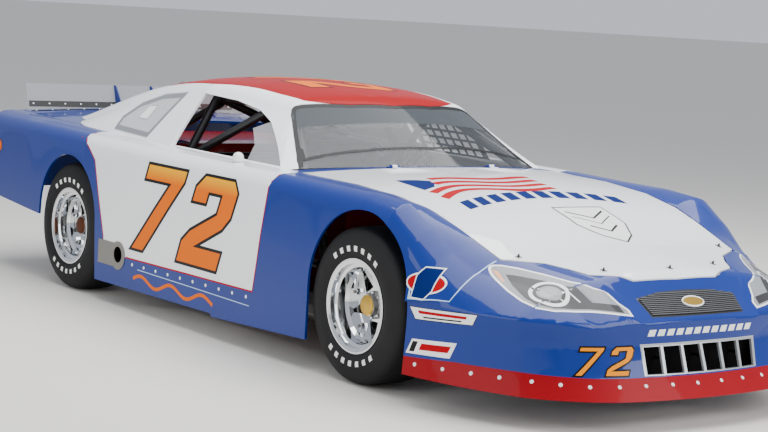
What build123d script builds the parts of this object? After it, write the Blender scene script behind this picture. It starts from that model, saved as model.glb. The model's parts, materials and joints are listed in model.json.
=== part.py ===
"""Short-track stock car of the late-model type, in millimetres.

X points forward, Y to the car's left, Z up.  The ground is Z = 0 and the
origin lies under the middle of the car's bounding box.
"""
import os
from math import cos, hypot, pi, radians, sin

from build123d import *

os.makedirs("parts", exist_ok=True)

# Main sizes of the car
FRONT_AXLE_X = 1302.5
REAR_AXLE_X = -1367.5
AXLE_Z = 345.0
WHEEL_Y = 835.0
LOW_Z = 130.0
SKIN_FOOT_Z = 40.0
PANEL = 12.0
SEAM = 6.0
GLASS = 4.0

# Wheels and tyres
TYRE_R = 345.0
TYRE_HALF_WIDTH = 140.0
TREAD_HALF_WIDTH = 102.0
BEAD_R = 190.5
WHEEL_PITCH_R = 130.0
WHEEL_STUDS = 5
WHEEL_STUD_R = 8.0
KINGPIN_Y = 770.0
RUNNING_CLEARANCE = 0.05
SPINDLE_R = 25.0

# Outer skin of the lower body, one cross-section a row.  The points run from
# the centreline outwards: middle, hood or deck seam, crest, side top, side
# middle, side bottom.
# x, z_mid, y_seam, z_seam, y_crest, z_crest, y_side, z_side, round, y_wide, z_wide, y_low
SECTIONS = {
    "tip": (2620, 303, 300, 290, 520, 255, 760, 190, 0.06, 1060, 120, 1060),
    "bumper": (2422, 443, 300, 432, 540, 395, 800, 290, 0.06, 1060, 180, 1060),
    "grille": (2332, 515, 340, 500, 600, 462, 820, 370, 0.07, 1055, 250, 1055),
    "hood_front": (2232, 604, 400, 582, 640, 525, 850, 420, 0.07, 1050, 290, 1050),
    "lamp": (2072, 641, 500, 612, 720, 555, 900, 440, 0.08, 1040, 320, 1040),
    "hood_corner": (1926, 671, 686, 633, 800, 578, 945, 460, 0.09, 1022, 350, 1020),
    "arch_front": (1792, 711, 698, 682, 830, 642, 965, 520, 0.11, 1012, 400, 1012),
    "arch_rise": (1672, 754, 708, 726, 850, 730, 975, 610, 0.15, 1008, 450, 1008),
    "arch_crown": (1522, 798, 720, 774, 862, 818, 978, 700, 0.19, 996, 450, 996),
    "axle": (1302, 842, 740, 815, 865, 836, 977, 735, 0.20, 985, 450, 985),
    "arch_rear": (1002, 868, 762, 838, 872, 838, 977, 750, 0.20, 982, 500, 982),
    "cowl": (552, 879, 792, 846, 885, 848, 978, 785, 0.17, 984, 560, 984),
    "door": (-300, 882, 792, 854, 895, 852, 978, 800, 0.16, 985, 560, 985),
    "post": (-1200, 888, 790, 864, 900, 860, 978, 812, 0.15, 984, 560, 984),
    "deck": (-1800, 901, 785, 880, 900, 870, 976, 815, 0.14, 980, 560, 980),
    "tail": (-2600, 911, 765, 890, 880, 878, 955, 805, 0.14, 962, 560, 962),
}
NOSE_RUN = (
    "tip", "bumper", "grille", "hood_front", "lamp", "hood_corner", "arch_front", "arch_rise", "arch_crown",
)
FENDER_RUN = (
    "grille", "hood_front", "lamp", "hood_corner", "arch_front", "arch_rise", "arch_crown", "axle",
    "arch_rear", "cowl", "door",
)
REAR_RUN = ("arch_rear", "cowl", "door", "post", "deck", "tail")

# Plan outline of the nose and tail, one level a row: front middle, end of the
# front, end of the corner, start of the side, end of the side, end of the
# rear corner, tail middle.
# z, x_front, x1, y1, x2, y2, x3, y3, x4, y4, x5, y5, x_tail
PLAN_SECTIONS = [
    (130, 2537.5, 2510, 360, 2262, 812, 1672, 1002, -2290, 990, -2470, 850, -2530),
    (220, 2470, 2442, 350, 2220, 792, 1672, 1002, -2290, 990, -2475, 850, -2535),
    (340, 2424, 2408, 360, 2210, 800, 1672, 1000, -2290, 990, -2478, 850, -2537.5),
    (430, 2434, 2408, 480, 2232, 826, 1672, 1000, -2290, 990, -2478, 850, -2537.5),
    (980, 2434, 2408, 480, 2232, 826, 1672, 1000, -2290, 990, -2478, 850, -2537.5),
]
PLAN_BULGES = (0.02, 0.10, 0.05, 0.0, 0.17, 0.01)

# Windows and roof, one cross-section a row, from the centreline outwards:
# roof middle, painted rail, gutter, foot.
# x, z_roof, y_rail, z_rail, y_gutter, z_gutter, y_foot, z_foot
ROOF_SECTIONS = [
    (780, 1030, 500, 990, 575, 945, 800, 845),
    (52, 1190, 505, 1150, 572, 1100, 801, 850),
    (-398, 1222, 540, 1186, 603, 1128, 802, 855),
    (-948, 1207, 550, 1158, 612, 1102, 798, 865),
    (-1498, 1120, 548, 1042, 625, 985, 780, 875),
    (-2098, 960, 535, 880, 640, 840, 740, 820),
]
# Windscreen surface: x at the middle, x and y at the corner, z
WINDSHIELD_FOOT = (700, 560, 784, 838)
WINDSHIELD_HEAD = (222, 54, 523, 1135)

# Openings and seams in the side view, x and z
FRONT_ARCH = (1341.0, 392.0, 375.0)
FRONT_ARCH_FOOT = (968.0, 1706.0)
REAR_ARCH = (-1374.0, 402.0, 331.0)
REAR_ARCH_FOOT = (-1745.0, -1012.0)
DOOR_FRONT = ((617, 900), (612, 834), (570, 579), (522, 284), (510, 40))
DOOR_REAR = ((-940, 40), (-940, 346), (-1076, 734), (-1198, 828), (-1290, 900))
SKIRT_TOP = ((1000, 290), (532, 284), (-704, 269), (-1100, 262))
SKIRT_FOOT = ((-1100, 106), (160, 121), (172, 106), (430, 117), (1000, 140))
TAIL_SEAM_X = -2330.0
TAIL_FOOT = ((-1650, 365), (-2215, 405), (-2560, 440))
NOSE_SEAM = ((1600, 425), (1672, 430), (1926, 470))
STRIP_TOP = ((1600, 200), (1694, 206), (1963, 222), (2200, 223), (2400, 214), (2600, 212))
SIDE_WINDOW = ((-570, 862), (420, 856), (66, 1040), (-78, 1088), (-294, 1117), (-605, 1131))
QUARTER_WINDOW = ((-770, 1125), (-858, 872), (-1240, 884), (-1275, 952), (-1195, 1037), (-1002, 1098))
VENT_PANE = ((420, 856), (66, 1040), (-20, 1000), (90, 930), (130, 856))

# Openings and seams in the plan view, x and y of one half
HOOD_REAR = ((664, 0), (644, 400), (588, 791))
HOOD_FRONT = ((1926, 688), (1955, 640), (2020, 524), (2095, 464), (2172, 418), (2252, 240), (2260, 0))
CABIN_HALF = ((612, 0), (592, 400), (505, 768), (-1600, 762), (-1735, 700), (-1740, 0))
SCREEN_HALF = (
    (760, 0), (740, 380), (640, 790), (545, 767), (455, 722), (356, 675), (262, 629), (148, 574), (120, 552),
    (112, 528), (116, 495), (186, 250), (212, 0),
)
DECK_FRONT_X = -2030.0
DECK_REAR_X = -2440.0
DECK_Y = 735.0
HEADLIGHT = (
    (1930, 751), (1959, 770), (2010, 776), (2086, 781), (2168, 775), (2239, 755), (2286, 694), (2317, 608),
    (2349, 520), (2393, 363), (2363, 363), (2289, 412), (2254, 470), (2194, 535), (2095, 593), (2003, 660),
    (1955, 707),
)
ROOF_SPLIT_Y = 560.0
ROOF_SPLIT_X = -600.0
ROOF_REAR_X = -1060.0
REAR_SCREEN_HEAD = (-1040.0, 1166.0)
REAR_SCREEN_FOOT = (-1800.0, 888.0)
REAR_SCREEN_Y = 500.0

# Openings in the front view, y and z of one half
UPPER_GRILLE = ((0, 538), (150, 534), (288, 514), (268, 448), (0, 448))
LOWER_GRILLE = ((0, 343), (334, 343), (327, 218), (0, 218))
GRILLE_BARS_Y = (-222, -111, 0, 111, 222)


def inset_chain(points, amount, first, last):
    """Move a chain of points inwards by an amount along the chain's normals."""
    moved = []
    for i, point in enumerate(points):
        if i == 0:
            n = first
        elif i == len(points) - 1:
            n = last
        else:
            before = (point[0] - points[i - 1][0], point[1] - points[i - 1][1])
            after = (points[i + 1][0] - point[0], points[i + 1][1] - point[1])
            lb = hypot(*before)
            la = hypot(*after)
            n1 = (-before[1] / lb, before[0] / lb)
            n2 = (-after[1] / la, after[0] / la)
            s = 1.0 + n1[0] * n2[0] + n1[1] * n2[1]
            n = ((n1[0] + n2[0]) / s, (n1[1] + n2[1]) / s)
        moved.append((point[0] - n[0] * amount, point[1] - n[1] * amount))
    return moved


def arc_middle(a, b, bulge):
    """Return the middle point of an arc from a to b, bulging to the left of the way."""
    dx = b[0] - a[0]
    dy = b[1] - a[1]
    return ((a[0] + b[0]) / 2 - dy * bulge, (a[1] + b[1]) / 2 + dx * bulge)


def curve(a, b, bulge):
    """Draw a line or an arc from a to b in the open BuildLine."""
    if bulge == 0:
        return Line(a, b)
    return ThreePointArc(a, arc_middle(a, b, bulge), b)


def mirrored_face(points, bulges):
    """Return a face from a half outline whose first and last points lie on the mirror line."""
    with BuildSketch() as sketch:
        with BuildLine():
            for i, bulge in enumerate(bulges):
                curve(points[i], points[i + 1], bulge)
            for i, bulge in enumerate(bulges):
                a = (-points[i][0], points[i][1])
                b = (-points[i + 1][0], points[i + 1][1])
                curve(a, b, -bulge)
        make_face()
    return sketch.sketch


def section_chain(name, inset):
    """Return one cross-section's half outline, from the top of the car to its foot."""
    x, zm, ys, zs, yc, zc, ye, ze, roundness, yw, zw, yl = SECTIONS[name]
    chain = [(0, zm), (ys, zs), (yc, zc), (ye, ze), (yw, zw), (yl, SKIN_FOOT_Z)]
    bulges = [(zm - zs) / (4 * ys), 0.05, roundness, 0.0, 0.0]
    return x, inset_chain(chain, inset, (0, 1), (1, 0)), bulges


def top_height(run, x, y):
    """Return the outer skin's height at a place between the hood or deck seams."""
    for a, b in zip(run, run[1:]):
        xa, zma, ysa, zsa = SECTIONS[a][:4]
        xb, zmb, ysb, zsb = SECTIONS[b][:4]
        if xb <= x <= xa:
            t = (xa - x) / (xa - xb)
            mid = zma + (zmb - zma) * t
            seam = zsa + (zsb - zsa) * t
            width = ysa + (ysb - ysa) * t
            return mid - (mid - seam) * (y / width) ** 2
    raise ValueError("x lies outside the run")


def body_skin(run, inset):
    """Loft a run of the lower body's cross-sections into a solid, the skin moved in by the inset."""
    with BuildPart() as skin:
        for name in run:
            x, chain, bulges = section_chain(name, inset)
            chain.append((0, SKIN_FOOT_Z))
            with BuildSketch(Plane(origin=(x, 0, 0), x_dir=(0, 1, 0), z_dir=(1, 0, 0))):
                add(mirrored_face(chain, bulges + [0.0]))
        loft(ruled=True, clean=False)
    return skin.part


def body_wall(run):
    """Loft a run of the lower body's cross-sections into its wall, open below."""
    with BuildPart() as wall:
        for name in run:
            x, outer, bulges = section_chain(name, 0.0)
            x, inner, bulges = section_chain(name, PANEL)
            chain = outer + inner[::-1]
            turned_bulges = bulges + [0.0] + [-b for b in bulges[::-1]]
            with BuildSketch(Plane(origin=(x, 0, 0), x_dir=(0, 1, 0), z_dir=(1, 0, 0))):
                add(mirrored_face(chain, turned_bulges))
        loft(ruled=True, clean=False)
    return wall.part


def plan_prism(inset):
    """Loft the plan outline of nose and tail through its levels, moved in by the inset."""
    with BuildPart() as prism:
        for row in PLAN_SECTIONS:
            z, xf, x1, y1, x2, y2, x3, y3, x4, y4, x5, y5, xt = row
            if z == LOW_Z and inset > 0:
                z = SKIN_FOOT_Z
            chain = [(0, xf), (y1, x1), (y2, x2), (y3, x3), (y4, x4), (y5, x5), (0, xt)]
            chain = inset_chain(chain, inset, (0, 1), (0, -1))
            with BuildSketch(Plane(origin=(0, 0, z), x_dir=(0, -1, 0), z_dir=(0, 0, 1))):
                add(mirrored_face(chain, PLAN_BULGES))
        loft(ruled=True)
    return prism.part


def cut_panel(wall, keep, remove):
    """Return a wall cut to the regions to keep, without the regions to remove."""
    with BuildPart() as panel:
        add(wall, clean=False)
        for region in keep:
            add(region, clean=False, mode=Mode.INTERSECT)
        for region in remove:
            add(region, clean=False, mode=Mode.SUBTRACT)
    return panel.part


def side_prism(points, half_width=1100.0):
    """Return a prism across the car whose outline lies in the side view (x, z)."""
    with BuildPart() as prism:
        with BuildSketch(Plane.XZ):
            with BuildLine():
                Polyline(*points, close=True)
            make_face()
        extrude(amount=half_width, both=True)
    return prism.part


def plan_region(points, z0, z1):
    """Return an upright prism whose outline lies in the plan view (x, y)."""
    with BuildPart() as prism:
        with BuildSketch(Plane(origin=(0, 0, z0))):
            with BuildLine():
                Polyline(*points, close=True)
            make_face()
        extrude(amount=z1 - z0)
    return prism.part


def front_prism(points, x0, x1):
    """Return a prism along the car whose outline lies in the front view (y, z)."""
    with BuildPart() as prism:
        with BuildSketch(Plane(origin=(x0, 0, 0), x_dir=(0, 1, 0), z_dir=(1, 0, 0))):
            with BuildLine():
                Polyline(*points, close=True)
            make_face()
        extrude(amount=x1 - x0)
    return prism.part


def glasshouse(inset):
    """Return roof, pillars and windows as one solid, moved in by the inset."""
    with BuildPart() as sides:
        for row in ROOF_SECTIONS:
            x, zt, yr, zr, yg, zg, yf, zf = row
            slope = (yf - yg) / (zg - zf)
            chain = [(0, zt), (yr, zr), (yg, zg), (yf + slope * (zf - 780), 780)]
            chain = inset_chain(chain, inset, (0, 1), (1, 0))
            chain.append((0, chain[-1][1]))
            with BuildSketch(Plane(origin=(x, 0, 0), x_dir=(0, 1, 0), z_dir=(1, 0, 0))):
                add(mirrored_face(chain, ((zt - zr) / (4 * yr), 0.08, 0.02, 0.0)))
        loft()
    xf, xc, yc, zf = WINDSHIELD_FOOT
    xh, xe, ye, zh = WINDSHIELD_HEAD
    with BuildPart() as screen:
        for z in (700.0, 1300.0):
            t = (z - zf) / (zh - zf)
            mid = xf + (xh - xf) * t - inset * 1.9
            edge = xc + (xe - xc) * t - inset * 1.9
            half = yc + (ye - yc) * t
            drop = mid - edge
            out = 1100.0
            far = mid - drop * (out / half) ** 2
            with BuildSketch(Plane(origin=(0, 0, z))):
                with BuildLine():
                    ThreePointArc((far, -out), (mid, 0), (far, out))
                    Polyline((far, out), (-3000, out), (-3000, -out), (far, -out))
                make_face()
        loft(ruled=True)
    with BuildPart() as house:
        add(sides.part)
        add(screen.part, mode=Mode.INTERSECT)
    return house.part




def half_plan(points, z0, z1):
    """Return an upright prism from a half outline of (x, y), mirrored in the car's middle plane."""
    chain = list(points) + [(x, -y) for x, y in reversed(points) if y != 0]
    return plan_region(chain, z0, z1)


def half_front(points, x0, x1):
    """Return a prism along the car from a half outline of (y, z), mirrored in the middle plane."""
    chain = list(points) + [(-y, z) for y, z in reversed(points) if y != 0]
    return front_prism(chain, x0, x1)


def box_region(x0, x1, y0, y1, z0, z1):
    """Return a box between pairs of planes."""
    with BuildPart() as box:
        with Locations(((x0 + x1) / 2, (y0 + y1) / 2, (z0 + z1) / 2)):
            Box(abs(x1 - x0), abs(y1 - y0), abs(z1 - z0))
    return box.part


def boxes(rows):
    """Return boxes joined together, one a row of x0, x1, y0, y1, z0, z1."""
    with BuildPart() as group:
        for x0, x1, y0, y1, z0, z1 in rows:
            with Locations(((x0 + x1) / 2, (y0 + y1) / 2, (z0 + z1) / 2)):
                Box(abs(x1 - x0), abs(y1 - y0), abs(z1 - z0))
    return group.part


def arch_region(arch, foot):
    """Return the prism of a wheel opening across the car."""
    cx, cz, r = arch
    x0, x1 = foot
    with BuildPart() as prism:
        with BuildSketch(Plane.XZ):
            with Locations((cx, cz)):
                Circle(r)
            with BuildLine():
                Polyline((cx - r, cz), (x0, 30), (x1, 30), (cx + r, cz), close=True)
            make_face()
        extrude(amount=1100, both=True)
    return prism.part


def tubes(paths, radius):
    """Return round tubes along straight paths, lapped over each other at their bends."""
    lap = radius * 0.5
    with BuildPart() as frame:
        for path in paths:
            last = len(path) - 2
            for i, (a, b) in enumerate(zip(path, path[1:])):
                run = (Vector(*b) - Vector(*a)).normalized()
                start = Vector(*a) - run * (lap if i > 0 else 0)
                end = Vector(*b) + run * (lap if i < last else 0)
                with BuildSketch(Plane(origin=tuple(start), z_dir=run)):
                    Circle(radius)
                extrude(amount=(end - start).length)
    return frame.part


def both_sides(paths):
    """Return the paths together with their mirror images in the car's middle plane."""
    return list(paths) + [[(x, -y, z) for x, y, z in path] for path in paths]


def turned(profile, x, y, sign):
    """Revolve a closed profile of (outward distance, radius) about a wheel's axle line."""
    with BuildPart() as ring:
        with BuildSketch(Plane(origin=(x, y, AXLE_Z), x_dir=(0, sign, 0), z_dir=(sign, 0, 0))):
            with BuildLine():
                Polyline(*profile, close=True)
            make_face()
        revolve(axis=Axis((x, y, AXLE_Z), (0, 1, 0)))
    return ring.part


PARTS = {}


def keep(name, piece):
    """Record a finished piece under its node name."""
    piece.label = name
    PARTS[name] = piece


fender_wall = body_wall(FENDER_RUN)
side_wall = body_wall(REAR_RUN)
outer_fender = body_skin(FENDER_RUN, 0.0)
outer_rear = body_skin(REAR_RUN, 0.0)
plan_outer = plan_prism(0.0)
plan_ring = cut_panel(plan_outer, [], [plan_prism(PANEL)])
nose_top = cut_panel(body_wall(NOSE_RUN), [plan_outer], [])
nose_box = box_region(1590, 2600, -1100, 1100, 30, 1000)
nose_face = cut_panel(plan_ring, [nose_box, body_skin(NOSE_RUN, 0.0)], [])
with BuildPart() as nose_shell:
    add(nose_top, clean=False)
    add(nose_face, clean=False)
nose_wall = nose_shell.part
tail_box = box_region(-2600, TAIL_SEAM_X, -1100, 1100, 30, 1000)
with BuildPart() as tail_shell:
    add(cut_panel(side_wall, [tail_box, plan_outer], []), clean=False)
    add(cut_panel(plan_ring, [tail_box, outer_rear], []), clean=False)
tail_wall = tail_shell.part
rear_wall = side_wall
outer_house = glasshouse(0.0)
inner_house = glasshouse(PANEL)

front_arch = arch_region(FRONT_ARCH, FRONT_ARCH_FOOT)
rear_arch = arch_region(REAR_ARCH, REAR_ARCH_FOOT)
skirt_region = side_prism(SKIRT_TOP + ((-1100, 30), (1000, 30)))
strip_region = side_prism(STRIP_TOP + ((2600, 30), (1600, 30)))
door_region = side_prism(DOOR_FRONT + DOOR_REAR)
upper_grille_region = half_front(UPPER_GRILLE, 2150, 2600)
lower_grille_region = half_front(LOWER_GRILLE, 2150, 2600)
tail_foot_region = side_prism(TAIL_FOOT + ((-2560, 30), (-1650, 30)))
cabin_opening = half_plan(CABIN_HALF, 600, 1000)
HOOD_HALF = HOOD_REAR + HOOD_FRONT
HOLE_HALF = ((HOOD_REAR[0][0] - SEAM, 0),) + tuple((x - SEAM, y + SEAM) for x, y in HOOD_REAR[1:])
HOLE_HALF += tuple((x + SEAM, y + SEAM) for x, y in HOOD_FRONT[:-1])
HOLE_HALF += ((HOOD_FRONT[-1][0] + SEAM, 0),)
hood_region = half_plan(HOOD_HALF, 450, 1000)
hood_hole = half_plan(HOLE_HALF, 450, 1000)
right_half = box_region(-2700, 2700, -1100, 0, 0, 1300)
left_half = box_region(-2700, 2700, 0, 1100, 0, 1300)

# Hood, cowl and fenders
HINGE_X = 650.0
HINGE_Y = 300.0
HINGE_R = 7.0
HINGE_PIN_R = 3.5
HINGE_RISE = HINGE_R + 1.6
HINGE_Z = top_height(FENDER_RUN, HINGE_X, HINGE_Y) + HINGE_RISE
with BuildPart() as hood:
    add(cut_panel(fender_wall, [hood_region], []))
    for y in (-HINGE_Y, HINGE_Y):
        with Locations((HINGE_X + 20, y, HINGE_Z - 5)):
            Box(40, 28, 4)
        with Locations((HINGE_X + 27, y, HINGE_Z - 9)):
            Box(26, 28, 12)
        with Locations((HINGE_X, y, HINGE_Z)):
            Cylinder(HINGE_R, 28, rotation=(90, 0, 0))
            Cylinder(HINGE_PIN_R + RUNNING_CLEARANCE, 40, rotation=(90, 0, 0), mode=Mode.SUBTRACT)
keep("hood", hood.part)
fender_region = side_prism(
    ((1926, 1000), (1926, 470), (1672, 430), (1600, 425), (1500, 30), (480, 30), (480, 1000))
)
COWL_Y = 791.0
cowl_region = box_region(480, 680, -COWL_Y, COWL_Y, 700, 1000)
with BuildPart() as cowl:
    add(cut_panel(fender_wall, [cowl_region], [hood_hole, cabin_opening]))
    for y in (-HINGE_Y - 20, -HINGE_Y + 20, HINGE_Y - 20, HINGE_Y + 20):
        with Locations((HINGE_X - 15, y, HINGE_Z - 5)):
            Box(30, 11, 4)
        with Locations((HINGE_X - 20, y, HINGE_Z - 9)):
            Box(20, 11, 12)
        with Locations((HINGE_X, y, HINGE_Z)):
            Cylinder(HINGE_R, 11, rotation=(90, 0, 0))
    with Locations((HINGE_X, -HINGE_Y, HINGE_Z), (HINGE_X, HINGE_Y, HINGE_Z)):
        Cylinder(HINGE_PIN_R, 50, rotation=(90, 0, 0))
keep("cowl", cowl.part)
fenders = cut_panel(
    fender_wall, [fender_region], [hood_hole, cowl_region, cabin_opening, front_arch, door_region, skirt_region]
)
keep("fender_right", cut_panel(fenders, [right_half], []))
keep("fender_left", cut_panel(fenders, [left_half], []))

# Nose cover with its openings, red strip and lamps
nose_region = side_prism(NOSE_SEAM + ((1926, 1000), (2600, 1000), (2600, 30), (1600, 30)))
nose_holes = [hood_hole, front_arch, upper_grille_region, lower_grille_region]
nose_all = cut_panel(nose_wall, [nose_region], nose_holes)
keep("air_dam_strip", cut_panel(nose_all, [strip_region], []))
nose_upper = cut_panel(nose_all, [], [strip_region])
lamp_right = plan_region([(x, -y) for x, y in HEADLIGHT], 380, 700)
lamp_left = plan_region(HEADLIGHT, 380, 700)
lamp_regions = lamp_right + lamp_left
keep("headlights", cut_panel(nose_upper, [lamp_regions], []))
keep("nose_right", cut_panel(nose_upper, [right_half], [lamp_regions]))
keep("nose_left", cut_panel(nose_upper, [left_half], [lamp_regions]))
keep("upper_grille", cut_panel(nose_wall, [upper_grille_region], []))
bar_rows = [(2300, 2600, y - 7, y + 7, 215, 345) for y in GRILLE_BARS_Y]
LOWER_GRILLE_INNER = ((0, 331), (318, 331), (313, 222), (0, 222))
with BuildPart() as lower_grille:
    add(cut_panel(nose_wall, [lower_grille_region], [half_front(LOWER_GRILLE_INNER, 2150, 2600)]))
    add(cut_panel(nose_wall, [lower_grille_region, boxes(bar_rows)], []))
keep("lower_grille", lower_grille.part)

# Doors, skirts, quarters, deck and tail
OUTLET_X = -770.0
OUTLET_Z = 272.0
PIPE_R = 42.0
OUTLET_HOLE_R = PIPE_R + 8.0
with BuildPart() as outlet:
    with Locations((OUTLET_X, -980, OUTLET_Z)):
        Cylinder(OUTLET_HOLE_R, 80, rotation=(90, 0, 0))
outlet_hole = outlet.part
door_holes = [cabin_opening, skirt_region, outlet_hole, cowl_region, hood_hole]
doors = cut_panel(rear_wall, [door_region], door_holes)
keep("door_right", cut_panel(doors, [right_half], []))
keep("door_left", cut_panel(doors, [left_half], []))
skirt_band = side_prism(SKIRT_TOP + SKIRT_FOOT)
skirts = cut_panel(rear_wall, [skirt_band], [front_arch, rear_arch, outlet_hole])
keep("rocker_skirts", skirts)
deck_region = box_region(DECK_REAR_X, DECK_FRONT_X, -DECK_Y, DECK_Y, 700, 1000)
deck_hole = box_region(DECK_REAR_X - SEAM, DECK_FRONT_X + SEAM, -DECK_Y - SEAM, DECK_Y + SEAM, 700, 1000)
deck_strip_region = box_region(DECK_FRONT_X, -1700, -770, 770, 700, 1000)
LID_HINGE_X = DECK_FRONT_X + SEAM / 2
LID_HINGE_Z = top_height(REAR_RUN, LID_HINGE_X, HINGE_Y) + HINGE_RISE
with BuildPart() as decklid:
    add(cut_panel(rear_wall, [deck_region], []))
    for y in (-HINGE_Y, HINGE_Y):
        with Locations((LID_HINGE_X - 20, y, LID_HINGE_Z - 5)):
            Box(40, 28, 4)
        with Locations((LID_HINGE_X - 27, y, LID_HINGE_Z - 9)):
            Box(26, 28, 12)
        with Locations((LID_HINGE_X, y, LID_HINGE_Z)):
            Cylinder(HINGE_R, 28, rotation=(90, 0, 0))
            Cylinder(HINGE_PIN_R + RUNNING_CLEARANCE, 40, rotation=(90, 0, 0), mode=Mode.SUBTRACT)
keep("decklid", decklid.part)
with BuildPart() as deck_strip:
    add(cut_panel(rear_wall, [deck_strip_region], [deck_hole, cabin_opening]))
    for y in (-HINGE_Y - 20, -HINGE_Y + 20, HINGE_Y - 20, HINGE_Y + 20):
        with Locations((LID_HINGE_X + 15, y, LID_HINGE_Z - 5)):
            Box(30, 11, 4)
        with Locations((LID_HINGE_X + 20, y, LID_HINGE_Z - 9)):
            Box(20, 11, 12)
        with Locations((LID_HINGE_X, y, LID_HINGE_Z)):
            Cylinder(HINGE_R, 11, rotation=(90, 0, 0))
    with Locations((LID_HINGE_X, -HINGE_Y, LID_HINGE_Z), (LID_HINGE_X, HINGE_Y, LID_HINGE_Z)):
        Cylinder(HINGE_PIN_R, 50, rotation=(90, 0, 0))
keep("deck_strip", deck_strip.part)
quarter_region = side_prism(
    ((-940, 30), (-940, 346), (-1076, 734), (-1198, 828), (-1290, 900), (-1290, 1000),
     (TAIL_SEAM_X, 1000), (TAIL_SEAM_X, 30))
)
quarters = cut_panel(
    rear_wall, [quarter_region],
    [deck_hole, deck_strip_region, cabin_opening, rear_arch, skirt_region, tail_foot_region],
)
keep("quarter_right", cut_panel(quarters, [right_half], []))
keep("quarter_left", cut_panel(quarters, [left_half], []))
tail_region = box_region(-2600, TAIL_SEAM_X, -1100, 1100, 30, 1000)
keep("tail_cover", cut_panel(tail_wall, [tail_region], [deck_hole, tail_foot_region]))

# Roof, sails and windows
with BuildPart() as house_wall:
    add(outer_house)
    add(inner_house, mode=Mode.SUBTRACT)
    add(outer_rear, mode=Mode.SUBTRACT)
    add(outer_fender, mode=Mode.SUBTRACT)
screen_region = half_plan(SCREEN_HALF, 700, 1300)
windows = side_prism(SIDE_WINDOW) + side_prism(QUARTER_WINDOW)
windows = windows - box_region(-2200, 800, -505, 505, 700, 1300)
rear_screen_region = box_region(-2200, ROOF_REAR_X, -REAR_SCREEN_Y, REAR_SCREEN_Y, 700, 1300)
SAIL_END_X = DECK_FRONT_X + 12
sail_region = (
    box_region(SAIL_END_X, ROOF_SPLIT_X, ROOF_SPLIT_Y, 1100, 700, 1300)
    + box_region(SAIL_END_X, ROOF_SPLIT_X, -1100, -ROOF_SPLIT_Y, 700, 1300)
    + box_region(SAIL_END_X, ROOF_REAR_X, REAR_SCREEN_Y, 1100, 700, 1300)
    + box_region(SAIL_END_X, ROOF_REAR_X, -1100, -REAR_SCREEN_Y, 700, 1300)
)
behind_sails = box_region(-2200, SAIL_END_X, -1100, 1100, 700, 1300)
roof_cuts = [screen_region, windows, sail_region, rear_screen_region, behind_sails]
keep("roof", cut_panel(house_wall.part, [], roof_cuts))
screen_slope = (REAR_SCREEN_HEAD[1] - REAR_SCREEN_FOOT[1]) / (REAR_SCREEN_HEAD[0] - REAR_SCREEN_FOOT[0])
under_screen = side_prism(
    ((-600, REAR_SCREEN_HEAD[1] - 30 + screen_slope * 440), (REAR_SCREEN_HEAD[0], REAR_SCREEN_HEAD[1] - 30),
     (REAR_SCREEN_FOOT[0] - 300, REAR_SCREEN_FOOT[1] - 30 - screen_slope * 300), (-2100, 500), (-600, 500))
)
sail_walls = boxes([
    (-2000, ROOF_REAR_X, REAR_SCREEN_Y, REAR_SCREEN_Y + PANEL, 700, 1300),
    (-2000, ROOF_REAR_X, -REAR_SCREEN_Y - PANEL, -REAR_SCREEN_Y, 700, 1300),
])
with BuildPart() as sails:
    add(cut_panel(house_wall.part, [sail_region], [windows]))
    add(cut_panel(outer_house, [sail_walls], [under_screen, outer_rear]))
keep("sail_panels", sails.part)
pane_outer = glasshouse(2.0)
pane_inner = glasshouse(2.0 + GLASS)
with BuildPart() as pane_wall:
    add(pane_outer)
    add(pane_inner, mode=Mode.SUBTRACT)
    add(outer_rear, mode=Mode.SUBTRACT)
    add(outer_fender, mode=Mode.SUBTRACT)
keep("windshield", cut_panel(pane_wall.part, [screen_region], []))
quarter_panes = side_prism(QUARTER_WINDOW) - box_region(-2200, 800, -505, 505, 700, 1300)
vent_panes = side_prism(VENT_PANE) - box_region(-2200, 800, -505, 505, 700, 1300)
with BuildPart() as side_panes:
    add(cut_panel(pane_wall.part, [quarter_panes], []))
    add(cut_panel(pane_wall.part, [vent_panes, windows], []))
keep("side_windows", side_panes.part)
with BuildPart() as rear_screen:
    with BuildSketch(Plane.XZ):
        with BuildLine():
            hx, hz = REAR_SCREEN_HEAD
            fx, fz = REAR_SCREEN_FOOT
            Polyline((hx, hz), (fx, fz), (fx, fz - 5), (hx, hz - 5), close=True)
        make_face()
    extrude(amount=REAR_SCREEN_Y, both=True)
    add(outer_rear, mode=Mode.SUBTRACT)
    add(PARTS["roof"], mode=Mode.SUBTRACT)
keep("rear_window", rear_screen.part)

# Spoiler on the decklid: clear blade, blue brace at the middle
SPOILER_X = -2425.0
SPOILER_TOP = 1050.0
deck_z = 900.0
blade_lean = 55.0
with BuildPart() as blade:
    with BuildSketch(Plane.XZ):
        with BuildLine():
            Polyline((SPOILER_X, deck_z - 30), (SPOILER_X - blade_lean, SPOILER_TOP),
                     (SPOILER_X - blade_lean - 5, SPOILER_TOP), (SPOILER_X - 5, deck_z - 30), close=True)
        make_face()
    extrude(amount=DECK_Y - 20, both=True)
    add(outer_rear, mode=Mode.SUBTRACT)
keep("spoiler_blade", blade.part)
with BuildPart() as braces:
    for y in (-125, 125):
        with BuildSketch(Plane(origin=(0, y, 0), x_dir=(1, 0, 0), z_dir=(0, -1, 0))):
            with BuildLine():
                Polyline((SPOILER_X, deck_z - 30), (SPOILER_X - blade_lean, SPOILER_TOP),
                         (SPOILER_X - blade_lean + 25, SPOILER_TOP), (SPOILER_X + 110, deck_z - 30), close=True)
            make_face()
        extrude(amount=4 if y == 0 else 3, both=True)
    add(outer_rear, mode=Mode.SUBTRACT)
keep("spoiler_braces", braces.part)

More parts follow.
